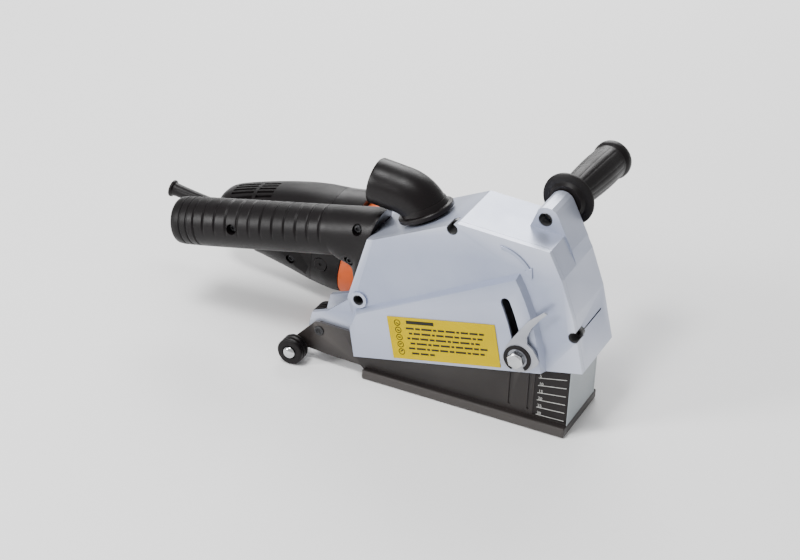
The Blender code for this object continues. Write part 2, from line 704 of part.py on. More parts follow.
def gear_case():
    """Cast head that holds the bevel gears, open to the motor and to the spindle."""
    u, v = SPINDLE
    body = turned("gear_case", "alloy", ARMATURE_AXIS, (0, 0, 0), "X",
                  [(0, 170), (16, 169), (26, 163), (31.5, 152), (34.0, 138), (34.5, 100),
                   (38.6, 76), (38.6, 18.6), (0, 18.6)], 24)
    neck = rod(None, None, MACHINE, (u, (31.6 + MOTOR_Y) / 2, v), "Y", 27.0, MOTOR_Y - 31.6, 28)
    cap = rod(None, None, MACHINE, (u, 112, v), "Y", 17.0, 24.0, 20)
    join(body, neck, cap)
    gear_room = rod(None, None, MACHINE, (u, 82.3, v), "Y", 27.5, 29.0, 20)
    pinion_room = rod(None, None, MACHINE, (100, MOTOR_Y, v), "X", 11.5, 50, 16)
    fan_room = rod(None, None, MACHINE, (40.0, MOTOR_Y, v), "X", 34.5, 68.0, 28)
    front_seat = rod(None, None, MACHINE, (80, MOTOR_Y, v), "X", 14.3, 13.0, 16)
    spindle_bore = rod(None, None, MACHINE, (u, 45, v), "Y", 14.3, 40, 16)
    spindle_through = rod(None, None, MACHINE, (u, 62, v), "Y", 9.0, 30, 16)
    far_seat = rod(None, None, MACHINE, (u, 104.6, v), "Y", 11.3, 17.0, 16)
    cut(body, gear_room, pinion_room, fan_room, front_seat, spindle_bore, spindle_through,
        far_seat)
    lock_bore = rod(None, None, MACHINE, (150, 66, v + 27), (0, 0, 1), 3.4, 40, 12)
    cut(body, lock_bore)
    return body


def bearing(name, parent, at, axis, outer, inner, width):
    """Ball bearing as one ring with a groove on each side for the seal."""
    half = width / 2
    lip = (outer - inner) * 0.25
    turned(name, "steel", parent, at, axis,
           [(outer, half), (outer, -half), (outer - lip, -half), (inner, -half + 0.7),
            (inner, half - 0.7), (outer - lip, half)], 16, True)


def spindle_lock():
    """Spring-loaded pin that stops the crown gear, with its return spring."""
    u, y, v = 150.0, 66.0, SPINDLE[1] + 27
    axis = empty("spindle_lock_axis", (u, y, v), MACHINE)
    turned("spindle_lock_button", "black", axis, (0, 0, 0), "Z",
           [(0, 17.5), (5.4, 17.0), (6.0, 15.8), (6.0, 11.8), (3.0, 11.8), (3.0, 5.0), (2.4, 4.0),
            (2.4, -0.5), (0, -0.5)], 16)


def seam_space(offset, behind):
    """Room on one side of a slanted seam round the motor."""
    low, high = -70.0, 130.0
    far_u = -260.0 if behind else 220.0
    outline = [(offset + SEAM_SLANT * low, low), (far_u, low), (far_u, high),
               (offset + SEAM_SLANT * high, high)]
    if behind:
        outline.reverse()
    return slab(None, None, MACHINE, outline, MOTOR_Y - 70, MOTOR_Y + 70)


def body_sections(shrink):
    """Rings of the motor's rear cover and handle: station, top, bottom, half width, power."""
    stations = [(12.0, 67.6, -20.6, 39.4, 2.15), (-20.0, 68.5, -20.6, 39.4, 2.15),
                (-36.0, 70.2, -19.5, 38.6, 2.2), (-46.0, 71.6, -17.0, 36.6, 2.3),
                (-62.0, 72.6, -11.0, 33.5, 2.4), (-80.0, 72.6, -2.5, 30.0, 2.5),
                (-100.0, 71.5, 6.5, 27.0, 2.6), (-122.0, 69.6, 16.5, 24.5, 2.6),
                (-136.0, 67.4, 23.0, 22.0, 2.6), (-143.0, 63.6, 28.0, 18.5, 2.5),
                (-147.5, 56.5, 35.0, 12.5, 2.4)]
    return [oval(u, MOTOR_Y, (top + low) / 2, wide - shrink, (top - low) / 2 - shrink, power, 20)
            for u, top, low, wide, power in stations]


def motor_housing():
    """Orange housing round the stator, ahead of the rear cover."""
    rings = [oval(u, MOTOR_Y, SPINDLE[1] + 1.2, 38.6, 40.2, 2.05, 24) for u in (-40.0, 18.2)]
    body = loft("motor_housing", "orange", MACHINE, rings)
    cut(body, rod(None, None, MACHINE, (0, MOTOR_Y, SPINDLE[1]), "X", 34.6, 100, 28))
    cut(body, seam_space(COVER_SEAM + GAP, True))
    return body


def motor_cover():
    """Black cover round the brushes."""
    body = loft("motor_cover", "black", MACHINE, body_sections(0.0)[:6])
    cut(body, loft(None, None, MACHINE, body_sections(3.4)[:6]))
    cut(body, seam_space(COVER_SEAM, False), seam_space(HANDLE_SEAM + GAP, True))
    seat = turned(None, None, ARMATURE_AXIS, (0, 0, 0), "X",
                  [(26.0, -53.0), (26.0, -58.5), (11.3, -58.5), (11.3, -53.0)], 20, True)
    rib = block(None, None, MACHINE, (-58.4, MOTOR_Y - 8, -13.0), (-53.1, MOTOR_Y + 8, -4.0))
    join(body, seat, rib)
    brush_openings(body)
    return body


def handle_shell(name, side):
    """Half of the rear handle, split on the motor's middle plane."""
    body = loft(name, "black", MACHINE, body_sections(0.0)[3:])
    cut(body, loft(None, None, MACHINE, body_sections(2.6)[2:-1]))
    low, high = sorted((MOTOR_Y + side * GAP / 2, MOTOR_Y + side * 60))
    keep(body, block(None, None, MACHINE, (-200, low, -60), (60, high, 120)))
    cut(body, seam_space(HANDLE_SEAM, False))
    cut(body, block(None, None, MACHINE, (-129, MOTOR_Y - 8, -40), (-90, MOTOR_Y + 8, 24)))
    route = Vector(SLEEVE_END) - Vector(SLEEVE_START)
    cut(body, rod(None, None, MACHINE, SLEEVE_START, route, 6.2, 30, 24))
    if side < 0:
        cut(body, rod(None, None, MACHINE, (-72.0, MOTOR_Y - 36, 22.0), "Y", 3.4, 40, 20))
        cut(body, rod(None, None, MACHINE, (-108, MOTOR_Y - 25, 48), "Y", 4.0, 20, 20))
    return body


def armature():
    """Shaft, core, commutator, fan and pinion turn together on the motor axis."""
    turned("armature_shaft", "steel", ARMATURE_AXIS, (0, 0, 0), "X",
           [(0, 119), (3.8, 119), (3.8, 101), (5.9, 100), (5.9, -51), (3.8, -52), (3.8, -60),
            (0, -60)], 16)
    core = rod("armature_core", "dark_steel", ARMATURE_AXIS, (0, 0, 0), "X", 21.0, 44.0, 18)
    cut(core, rod(None, None, ARMATURE_AXIS, (0, 0, 0), "X", 6.2, 60, 16))
    turned("commutator", "copper", ARMATURE_AXIS, (0, 0, 0), "X",
           [(13.0, -29), (13.0, -46), (6.2, -46), (6.2, -29)], 16, True)
    fan = turned("cooling_fan", "black", ARMATURE_AXIS, (0, 0, 0), "X",
                 [(31.0, 56), (31.0, 54), (10.0, 52), (10.0, 46), (6.2, 46), (6.2, 62),
                  (10.0, 62), (10.0, 56)], 18, True)
    blades = 6
    for i in range(blades):
        angle = 2 * math.pi * i / blades
        blade = block(None, None, ARMATURE_AXIS, (45.5, -1, 9), (55, 1, 30))
        centre = Matrix.Rotation(angle, 4, "X") @ (Vector((50.2, 0, 19.5)) * MM)
        blade.location = centre
        blade.rotation_euler = (angle, 0, 0)
        join(fan, blade)
    pinion = gear("pinion", ARMATURE_AXIS, (111.0, 0, 0), (1, 0, 0), PINION_TEETH, 7.4, 5.4, 7.0)
    cut(pinion, rod(None, None, ARMATURE_AXIS, (111, 0, 0), "X", 4.1, 20, 24))


def stator():
    """Laminated field ring round the armature."""
    turned("stator", "dark_steel", ARMATURE_AXIS, (0, 0, 0), "X",
           [(33.0, 17.5), (33.0, -26), (22.2, -26), (22.2, 17.5)], 24, True)


def brush_set(name, side):
    """Carbon brush, its holder and the cap that closes it."""
    u = -37.5
    y = MOTOR_Y + side * 13.3
    low, high = sorted((y, y + side * 9.0))
    block("carbon_brush_" + name, "dark_steel", MACHINE, (u - 3.5, low, SPINDLE[1] - 3),
          (u + 3.5, high, SPINDLE[1] + 3))
    turned("brush_cap_" + name, "black", MACHINE, (u, MOTOR_Y + side * 38.4, SPINDLE[1]),
           (0, side, 0), [(0, 0), (6.2, -0.4), (6.2, -3.6), (4.6, -3.6), (4.6, -14.2), (0, -14.2)],
           20)


def brush_openings(housing):
    """Bores in the motor housing for the brush caps."""
    for side in (-1, 1):
        y = MOTOR_Y + side * 30
        cut(housing, rod(None, None, MACHINE, (-37.5, y, SPINDLE[1]), "Y", 4.9, 30, 20))
        cut(housing, rod(None, None, MACHINE, (-37.5, MOTOR_Y + side * 44.5, SPINDLE[1]), "Y",
                         6.5, 20, 20))


def switch_parts():
    """Switch block, trigger and lock-off button in the rear handle."""
    block("switch_block", "black", MACHINE, (-126, MOTOR_Y - 9, 31), (-96, MOTOR_Y + 9, 50))
    hinge = empty("trigger_axis", (-94.0, MOTOR_Y, 15.0), MACHINE)
    outline = [(3.0, -3.0), (3.0, 4.0), (-31.0, 8.5), (-32.0, 1.0), (-26.0, -4.0), (-8.0, -11.0)]
    slab("trigger", "black", hinge, list(reversed(outline)), -6.8, 6.8)
    axis = empty("lock_off_axis", (-108.0, MOTOR_Y - 20.0, 48.0), MACHINE)
    turned("lock_off_button", "red", axis, (0, 0, 0), (0, -1, 0),
           [(0, 8.6), (3.2, 8.4), (3.7, 7.6), (3.7, 0.0), (0, 0.0)], 20)


def cord_sleeve():
    """Strain relief that trails up and back from the rear handle."""
    route = Vector(SLEEVE_END) - Vector(SLEEVE_START)
    end = route.length
    turned("cord_sleeve", "black", MACHINE, SLEEVE_START, route,
           [(7.6, end), (7.6, end - 2.2), (5.9, end - 3.4), (5.3, 2.0), (5.3, -5.0), (3.4, -5.0),
            (3.4, end)], 18, True)


# ---------------------------------------------------------------- handles

def flange_point(along, lift, y):
    """Point on the guard's slanted rear face: distance up it, stand-off and y."""
    low = Vector(GUARD_OUTLINE[7])
    high = Vector(GUARD_OUTLINE[6])
    up = (high - low).normalized()
    back = Vector((-up.y, up.x))
    place = low + up * along + back * lift
    return (place.x, y, place.y)


def flange_ring(centre, lift, half_y, half_up, power, count=24):
    """Superellipse that lies parallel to the guard's rear face."""
    flat = oval(0.0, GRIP_Y, centre, half_y, half_up, power, count)
    return [flange_point(along, lift, y) for _, y, along in flat]


def grip_rings():
    """Rings of the barrel grip, from its end cap to the flange on the guard."""
    stations = [(GRIP_END, 16.6), (GRIP_END + 2.0, 19.2), (GRIP_END + 22.0, GRIP_RADIUS),
                (2.0, GRIP_RADIUS)]
    rings = [oval(u, GRIP_Y, GRIP_AXIS_V, r, r) for u, r in stations]
    rings.append([(u + 0.25 * (v - GRIP_AXIS_V), y, v)
                  for u, y, v in oval(17.0, GRIP_Y, GRIP_AXIS_V - 1.0, 20.4, 21.4)])
    rings.append(flange_ring(43.0, 9.0, 20.8, 28.0, 2.3))
    rings.append(flange_ring(39.5, 3.0, 21.4, 34.6, 2.6))
    rings.append(flange_ring(39.0, 0.4, 21.6, 35.6, 2.7))
    return rings


def grip_shell(name, side):
    """Half of the rear barrel grip with its flange."""
    body = loft(name, "black", MACHINE, grip_rings())
    low, high = sorted((GRIP_Y + side * GAP / 2, GRIP_Y + side * 40))
    keep(body, block(None, None, MACHINE, (-160, low, 20), (90, high, 120)))
    cut(body, rod(None, None, MACHINE, (-60, GRIP_Y, GRIP_AXIS_V), "X", 15.5, 132, 28))
    cut(body, rod(None, None, MACHINE, (REAR_SCREW[0], -20, REAR_SCREW[1]), "Y", 7.6, 60, 24))
    if side < 0:
        for u, v in GRIP_SCREWS:
            cut(body, rod(None, None, MACHINE, (u, -30.0, v), "Y", 3.6, 36, 20))
    return body


def front_handle():
    """Side handle screwed into the boss on the guard's nose."""
    base = handle_point(0.0)
    turned("front_handle_grip", "black", MACHINE, base, handle_axis(),
           [(0, 120.2), (12.0, 120.0), (14.6, 118.4), (16.2, 115.0), (16.2, 112.0),
            (14.4, 109.0), (14.8, 98.0), (15.0, 84.0), (14.4, 66.0), (13.0, 50.0), (12.4, 43.0),
            (14.0, 39.6), (21.8, 38.6), (21.8, 35.6), (15.2, 34.9), (13.0, 32.2), (5.4, 32.2),
            (5.4, 70.0), (0, 70.0)], 18)
    turned("front_handle_stud", "steel", MACHINE, base, handle_axis(),
           [(0, 69.6), (5.0, 69.6), (5.0, 8.0), (4.2, 7.0), (0, 7.0)], 14)


# ---------------------------------------------------------------- assembly

guard_housing()
guard_cover()
for label, spot in SCREWS.items():
    cover_screw("cover_screw_" + label, spot)
warning_label()
dust_elbow()
base_shoe()
depth_scale_plate()
pivot_pin()
torsion_spring()
roller_axle()
for label, way in (("near", -1), ("far", 1)):
    roller(label, way)
    axle_cap(label, way)
clamp_set()
spindle()
collar("inner_flange", "steel", 14.6, 22.0, 20.0, 7.2)
collar("disc_spacer", "steel", -11.7, 11.7, 12.5, 7.2)
collar("outer_flange", "steel", -17.2, -14.6, 20.0, 7.2)
disc_nut()
disc("diamond_disc_near", -DISC_Y)
disc("diamond_disc_far", DISC_Y)
crown_gear()
gear_case()
bearing("spindle_bearing_near", MACHINE, (SPINDLE[0], 42.0, SPINDLE[1]), "Y", 14.0, 6.9, 11.0)
bearing("spindle_bearing_far", MACHINE, (SPINDLE[0], 104.6, SPINDLE[1]), "Y", 11.0, 5.1, 11.0)
bearing("motor_bearing_front", ARMATURE_AXIS, (80.0, 0, 0), "X", 14.0, 6.2, 11.0)
bearing("motor_bearing_rear", ARMATURE_AXIS, (-56.0, 0, 0), "X", 11.0, 4.1, 7.0)
spindle_lock()
motor_housing()
motor_cover()
handle_shell("rear_handle_near", -1)
handle_shell("rear_handle_far", 1)
armature()
stator()
brush_set("near", -1)
brush_set("far", 1)
switch_parts()
cord_sleeve()
grip_shell("barrel_grip_near", -1)
grip_shell("barrel_grip_far", 1)
front_handle()
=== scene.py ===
"""Looks of the wall chaser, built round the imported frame.

Machine pieces are placed with machine(u, y, v) and shoe pieces with sole(x, y, z), both in
millimetres: u runs along the motor's axis from the shoe hinge, v square to it, and x and z
run from the middle of the sole.
"""
import json
import math

import bmesh
import bpy
from mathutils import Matrix, Vector


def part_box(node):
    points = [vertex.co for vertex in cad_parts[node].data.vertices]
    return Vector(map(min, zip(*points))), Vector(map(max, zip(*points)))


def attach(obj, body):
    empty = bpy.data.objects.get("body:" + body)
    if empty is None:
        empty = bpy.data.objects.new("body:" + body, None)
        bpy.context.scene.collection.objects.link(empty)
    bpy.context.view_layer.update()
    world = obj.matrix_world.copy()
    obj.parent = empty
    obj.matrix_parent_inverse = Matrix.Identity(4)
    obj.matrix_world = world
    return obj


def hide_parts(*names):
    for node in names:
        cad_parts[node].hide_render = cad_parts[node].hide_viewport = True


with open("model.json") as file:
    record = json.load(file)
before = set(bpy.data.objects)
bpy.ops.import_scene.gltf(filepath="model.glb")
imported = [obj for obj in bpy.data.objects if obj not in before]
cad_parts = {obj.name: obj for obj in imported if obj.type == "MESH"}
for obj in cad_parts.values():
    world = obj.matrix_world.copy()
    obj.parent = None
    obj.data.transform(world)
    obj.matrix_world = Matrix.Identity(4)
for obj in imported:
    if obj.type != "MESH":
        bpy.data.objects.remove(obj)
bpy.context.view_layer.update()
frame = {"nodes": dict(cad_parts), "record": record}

MM = 0.001
JOINTS = {joint["name"]: joint for joint in frame["record"]["behaviour"]["joints"]}
HINGE = Vector(JOINTS["shoe_hinge"]["pos_m"])
ALONG = Vector(JOINTS["armature_spin"]["axis"]).normalized()
ACROSS = Vector((0.0, 1.0, 0.0))
UP = Vector((-ALONG.z, 0.0, ALONG.x))
HINGE_X = -129.7                # hinge from the middle of the sole
MOTOR_Y = 88.0
SPINDLE_U = 132.0
SPINDLE_V = 18.7
FACE_Y = -31.2                  # near face of the guard
PANEL_Y = -36.4                 # near face of its raised panel
GRIP_Y = -2.0
GRIP_V = 78.3
GRIP_END = -130.5
SEAM_SLANT = 0.41
COVER_SEAM = -27.0
HANDLE_SEAM = -56.0
SLEEVE_START = (-146.0, MOTOR_Y, 45.0)
SLEEVE_END = (-198.5, MOTOR_Y, 63.8)
PORT = (99.4, 96.8)
PORT_TILT = 13.75
GUARD_REAR = ((30.6, 31.0), (57.6, 84.2))
AXLE = (-148.7, 11.3)
HANDLE = (202.0, 98.3)
HANDLE_BOSS_Y = 12.0
HANDLE_TURN = 4.5
ROLLER_RADIUS = 11.2
TOP_SCREW = (136.0, 99.6)
FRONT_SCREW = (225.6, 14.2)
REAR_SCREW = (43.6, 32.8)
SCREW_FLOOR = -17.6             # where the cover screws' heads stand
SMOOTH_ANGLE = 32               # degrees; flatter edges are shaded smooth
BRUSH_U = -37.5
LOCK_OFF = (-108.0, 48.0)


def machine(u, y, v):
    return HINGE + (ALONG * u + ACROSS * y + UP * v) * MM


def sole(x, y, z):
    return Vector((HINGE.x + (x - HINGE_X) * MM, HINGE.y + y * MM, z * MM))


# ---------------------------------------------------------------- materials

def add_node(tree, kind, **values):
    node = tree.nodes.new(kind)
    for name, value in values.items():
        node.inputs[name.replace("_", " ")].default_value = value
    return node


def colour_mix(tree, factor, first, second):
    mix = tree.nodes.new("ShaderNodeMix")
    mix.data_type = "RGBA"
    tree.links.new(factor, mix.inputs[0])
    for socket, value in ((mix.inputs[6], first), (mix.inputs[7], second)):
        if isinstance(value, tuple):
            socket.default_value = (*value, 1.0)
        else:
            tree.links.new(value, socket)
    return mix.outputs[2]


def remap(tree, value, low, high, new_low, new_high):
    node = add_node(tree, "ShaderNodeMapRange", From_Min=low, From_Max=high, To_Min=new_low,
                    To_Max=new_high)
    tree.links.new(value, node.inputs["Value"])
    return node.outputs["Result"]


def finish(name, colour, shade, rough, metallic=0.0, grain=1500.0, bump=0.2, patch=30.0,
           stretch=(1.0, 1.0, 1.0), wear=None, coat=0.0, swing=0.08, sheen=0.5):
    """Principled material: broad colour patches, fine grain, worn edges and uneven gloss."""
    made = bpy.data.materials.new(name)
    made.use_nodes = True
    tree = made.node_tree
    shader = tree.nodes["Principled BSDF"]
    shader.inputs["Metallic"].default_value = metallic
    shader.inputs["Coat Weight"].default_value = coat
    shader.inputs["Specular IOR Level"].default_value = sheen
    shader.inputs["Coat Roughness"].default_value = 0.2
    place = tree.nodes.new("ShaderNodeTexCoord").outputs["Object"]
    mapping = add_node(tree, "ShaderNodeMapping", Scale=stretch)
    tree.links.new(place, mapping.inputs["Vector"])
    broad = add_node(tree, "ShaderNodeTexNoise", Scale=patch, Detail=5.0, Roughness=0.6)
    fine = add_node(tree, "ShaderNodeTexNoise", Scale=grain, Detail=3.0, Roughness=0.55)
    tree.links.new(place, broad.inputs["Vector"])
    tree.links.new(mapping.outputs["Vector"], fine.inputs["Vector"])
    spread = remap(tree, broad.outputs["Fac"], 0.35, 0.7, 0.0, 1.0)
    tint = colour_mix(tree, spread, colour, shade)
    if wear:
        edge = tree.nodes.new("ShaderNodeNewGeometry").outputs["Pointiness"]
        worn = remap(tree, edge, 0.53, 0.62, 0.0, 0.6)
        tint = colour_mix(tree, worn, tint, wear)
    tree.links.new(tint, shader.inputs["Base Color"])
    gloss = remap(tree, broad.outputs["Fac"], 0.3, 0.7, rough - swing, rough + swing)
    tree.links.new(gloss, shader.inputs["Roughness"])
    relief = add_node(tree, "ShaderNodeBump", Strength=bump, Distance=0.0003)
    tree.links.new(fine.outputs["Fac"], relief.inputs["Height"])
    tree.links.new(relief.outputs["Normal"], shader.inputs["Normal"])
    return made


ALLOY = finish("cast_alloy", (0.34, 0.375, 0.49), (0.30, 0.335, 0.45), 0.36, 0.55, 2600, 0.10,
               14, wear=(0.66, 0.69, 0.78), coat=0.10)
SHOE = finish("coated_steel", (0.022, 0.018, 0.017), (0.015, 0.0125, 0.012), 0.38, 0.0, 2200,
              0.12, 20, wear=(0.10, 0.09, 0.085), sheen=0.35)
BLACK = finish("grained_plastic", (0.0045, 0.0030, 0.0034), (0.0028, 0.0020, 0.0022), 0.34, 0.0,
               3000, 0.22, 35, wear=(0.016, 0.013, 0.013), sheen=0.22)
SOFT = finish("grip_rubber", (0.0042, 0.0029, 0.0033), (0.0027, 0.0020, 0.0022), 0.40, 0.0, 2400,
              0.30, 30, wear=(0.016, 0.013, 0.013), sheen=0.20)
ORANGE = finish("orange_plastic", (0.86, 0.15, 0.035), (0.76, 0.12, 0.028), 0.38, 0.0, 2600,
                0.15, 30, wear=(0.80, 0.20, 0.06), sheen=0.3)
YELLOW = finish("label_film", (0.50, 0.365, 0.0), (0.47, 0.34, 0.0), 0.6, 0.0, 900, 0.03, 40,
                sheen=0.0)
INK = finish("label_ink", (0.010, 0.010, 0.006), (0.02, 0.02, 0.01), 0.5, 0.0, 900, 0.05, 60,
             sheen=0.2)
WHITE = finish("scale_ink", (0.50, 0.50, 0.48), (0.40, 0.40, 0.38), 0.5, 0.0, 900, 0.05, 60)
STEEL = finish("bright_steel", (0.60, 0.61, 0.62), (0.46, 0.47, 0.49), 0.22, 1.0, 700, 0.10, 45,
               (1.0, 6.0, 1.0), wear=(0.80, 0.80, 0.81))
# dark steel for the screws and the hinge pin, and also the painted shade in the screw pockets
DARK = finish("black_steel_and_pocket_shade", (0.022, 0.022, 0.024), (0.014, 0.014, 0.016), 0.34, 0.5, 1200, 0.15,
              50, wear=(0.12, 0.12, 0.12), sheen=0.4)
LEVER = finish("zinc_plate", (0.24, 0.255, 0.29), (0.19, 0.20, 0.235), 0.36, 0.7, 1400, 0.12, 60,
               wear=(0.55, 0.56, 0.60))
COPPER = finish("copper", (0.72, 0.33, 0.16), (0.60, 0.25, 0.11), 0.30, 1.0, 900, 0.1, 60)
DIAMOND = finish("ground_disc", (0.30, 0.30, 0.31), (0.20, 0.20, 0.21), 0.42, 0.7, 900, 0.3, 40,
                 wear=(0.55, 0.52, 0.45))
RED = finish("red_plastic", (0.45, 0.02, 0.012), (0.36, 0.014, 0.01), 0.35, 0.0, 1500, 0.1, 40)


def brighten_nose(made):
    """Mix a light grey into the shoe's front wall, ahead of the plate's edge."""
    tree = made.node_tree
    shader = tree.nodes["Principled BSDF"]
    place = tree.nodes.new("ShaderNodeTexCoord").outputs["Object"]
    split = tree.nodes.new("ShaderNodeSeparateXYZ")
    tree.links.new(place, split.inputs["Vector"])
    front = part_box("base_shoe")[1][0]
    ahead = remap(tree, split.outputs["X"], front - 0.0007, front - 0.0005, 0.0, 1.0)
    above = remap(tree, split.outputs["Z"], 0.0088, 0.0092, 0.0, 1.0)
    both = tree.nodes.new("ShaderNodeMath")
    both.operation = "MULTIPLY"
    tree.links.new(ahead, both.inputs[0])
    tree.links.new(above, both.inputs[1])
    painted = shader.inputs["Base Color"].links[0].from_socket
    tree.links.new(colour_mix(tree, both.outputs[0], painted, (0.30, 0.33, 0.35)),
                   shader.inputs["Base Color"])


brighten_nose(SHOE)
NODE_MATERIAL = {"depth_lever": LEVER}
SLOT_MATERIAL = {"alloy": ALLOY, "shoe": SHOE, "black": BLACK, "orange": ORANGE,
                 "yellow": YELLOW, "steel": STEEL, "dark_steel": DARK, "copper": COPPER,
                 "diamond": DIAMOND, "red": RED}


# ---------------------------------------------------------------- shading and mesh helpers

def angle_smoothing():
    """Geometry nodes that shade smooth across edges flatter than a limit."""
    group = bpy.data.node_groups.new("smooth_by_angle", "GeometryNodeTree")
    group.interface.new_socket("Geometry", in_out="INPUT", socket_type="NodeSocketGeometry")
    group.interface.new_socket("Geometry", in_out="OUTPUT", socket_type="NodeSocketGeometry")
    start = group.nodes.new("NodeGroupInput")
    end = group.nodes.new("NodeGroupOutput")
    angle = group.nodes.new("GeometryNodeInputMeshEdgeAngle")
    compare = group.nodes.new("FunctionNodeCompare")
    compare.data_type = "FLOAT"
    compare.operation = "LESS_THAN"
    compare.inputs["B"].default_value = math.radians(SMOOTH_ANGLE)
    faces = group.nodes.new("GeometryNodeSetShadeSmooth")
    faces.domain = "FACE"
    edges = group.nodes.new("GeometryNodeSetShadeSmooth")
    edges.domain = "EDGE"
    group.links.new(start.outputs[0], faces.inputs["Geometry"])
    group.links.new(faces.outputs[0], edges.inputs["Geometry"])
    group.links.new(angle.outputs["Unsigned Angle"], compare.inputs["A"])
    group.links.new(compare.outputs["Result"], edges.inputs["Shade Smooth"])
    group.links.new(edges.outputs[0], end.inputs[0])
    return group


SMOOTHING = angle_smoothing()


def round_edges(piece, width, segments=3, angle=SMOOTH_ANGLE):
    """Bevelled edges, smooth shading over the flat ones, and flat faces kept flat."""
    if width:
        bevel = piece.modifiers.new("round", "BEVEL")
        bevel.width = width * MM
        bevel.segments = segments
        bevel.limit_method = "ANGLE"
        bevel.angle_limit = math.radians(angle)
        bevel.harden_normals = False
    smooth = piece.modifiers.new("smooth", "NODES")
    smooth.node_group = SMOOTHING
    if width:
        weigh = piece.modifiers.new("weigh", "WEIGHTED_NORMAL")
        weigh.keep_sharp = True


def piece_from(bm, name, body, material, nodes=(), width=0.0, segments=3):
    """Mesh object in the row frame that rides a body and stands for CAD nodes."""
    bmesh.ops.recalc_face_normals(bm, faces=bm.faces[:])
    mesh = bpy.data.meshes.new(name)
    bm.to_mesh(mesh)
    bm.free()
    piece = bpy.data.objects.new(name, mesh)
    bpy.context.scene.collection.objects.link(piece)
    mesh.materials.append(material)
    round_edges(piece, width, segments)
    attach(piece, body)
    if nodes:
        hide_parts(*nodes)
    return piece


def skin(rings, closed_ends=True):
    """bmesh skinned through rings of equally many points."""
    bm = bmesh.new()
    rows = [[bm.verts.new(p) for p in ring] for ring in rings]
    count = len(rows[0])
    for row, following in zip(rows, rows[1:]):
        for i in range(count):
            j = (i + 1) % count
            bm.faces.new((row[i], row[j], following[j], following[i]))
    if closed_ends:
        bm.faces.new(rows[0])
        bm.faces.new(rows[-1])
    else:
        for i in range(count):
            j = (i + 1) % count
            bm.faces.new((rows[-1][i], rows[-1][j], rows[0][j], rows[0][i]))
    return bm


def lathe(at, axis, profile, steps=72, closed=False, shape=None):
    """bmesh turned about an axis; profile is (radius, height), shape alters a radius."""
    axis = Vector(axis).normalized()
    side = axis.orthogonal().normalized()
    other = axis.cross(side)
    bm = bmesh.new()
    rows = []
    for radius, height in profile:
        if radius == 0:
            rows.append([bm.verts.new(at + axis * height * MM)] * steps)
            continue
        row = []
        for i in range(steps):
            turn = 2 * math.pi * i / steps
            r = shape(radius, height, turn) if shape else radius
            out = side * math.cos(turn) + other * math.sin(turn)
            row.append(bm.verts.new(at + (axis * height + out * r) * MM))
        rows.append(row)
    pairs = list(zip(rows, rows[1:]))
    if closed:
        pairs.append((rows[-1], rows[0]))
    for row, following in pairs:
        for i in range(steps):
            j = (i + 1) % steps
            corners = []
            for vert in (row[i], row[j], following[j], following[i]):
                if vert not in corners:
                    corners.append(vert)
            if len(corners) > 2:
                bm.faces.new(corners)
    return bm


def plate(points, offset):
    """bmesh prism: outline points in the row frame, extruded by offset."""
    bm = bmesh.new()
    low = [bm.verts.new(p) for p in points]
    high = [bm.verts.new(p + offset) for p in points]
    bm.faces.new(low)
    bm.faces.new(list(reversed(high)))
    for i in range(len(low)):
        j = (i + 1) % len(low)
        bm.faces.new((low[j], low[i], high[i], high[j]))
    return bm


def merged(parts):
    """One bmesh out of several."""
    whole = bmesh.new()
    for part in parts:
        mesh = bpy.data.meshes.new("part")
        bmesh.ops.recalc_face_normals(part, faces=part.faces[:])
        part.to_mesh(mesh)
        part.free()
        whole.from_mesh(mesh)
        bpy.data.meshes.remove(mesh)
    return whole


def carve(piece, parts):
    """Boolean cuts, one cutter part after another, applied to the mesh."""
    piece.modifiers.clear()
    cutters = []
    for part in parts:
        bmesh.ops.recalc_face_normals(part, faces=part.faces[:])
        mesh = bpy.data.meshes.new(piece.name + "_cut")
        part.to_mesh(mesh)
        part.free()
        cutter = bpy.data.objects.new(piece.name + "_cut", mesh)
        bpy.context.scene.collection.objects.link(cutter)
        cutters.append(cutter)
        modifier = piece.modifiers.new("cut", "BOOLEAN")
        modifier.operation = "DIFFERENCE"
        modifier.solver = "EXACT"
        modifier.object = cutter
    bpy.context.view_layer.update()
    graph = bpy.context.evaluated_depsgraph_get()
    shape = bpy.data.meshes.new_from_object(piece.evaluated_get(graph))
    piece.modifiers.clear()
    old = piece.data
    piece.data = shape
    bpy.data.meshes.remove(old)
    for cutter in cutters:
        bpy.data.objects.remove(cutter)
    round_edges(piece, 0.0)


def smooth_rings(rings, per):
    """Rings with others fitted between them on smooth curves."""
    result = []
    last = len(rings) - 1
    for k in range(last):
        before = rings[max(k - 1, 0)]
        after = rings[min(k + 2, last)]
        for step in range(per):
            t = step / per
            ring = []
            for p0, p1, p2, p3 in zip(before, rings[k], rings[k + 1], after):
                ring.append(0.5 * ((2 * p1) + (p2 - p0) * t + (2 * p0 - 5 * p1 + 4 * p2 - p3)
                                   * t * t + (3 * p1 - p0 - 3 * p2 + p3) * t ** 3))
            result.append(ring)
    result.append(rings[-1])
    return result


def oval(u, y, v, half_y, half_v, power=2.0, count=80, lean=0.0):
    """Superellipse ring across the machine's u axis, in millimetres; lean tilts it."""
    ring = []
    for i in range(count):
        turn = 2 * math.pi * i / count
        c = math.cos(turn)
        s = math.sin(turn)
        dv = half_v * math.copysign(abs(s) ** (2 / power), s)
        ring.append(Vector((u + lean * dv, y + half_y * math.copysign(abs(c) ** (2 / power), c),
                            v + dv)))
    return ring


def to_row(rings):
    return [[machine(*p) for p in ring] for ring in rings]


# ---------------------------------------------------------------- carried-over CAD nodes

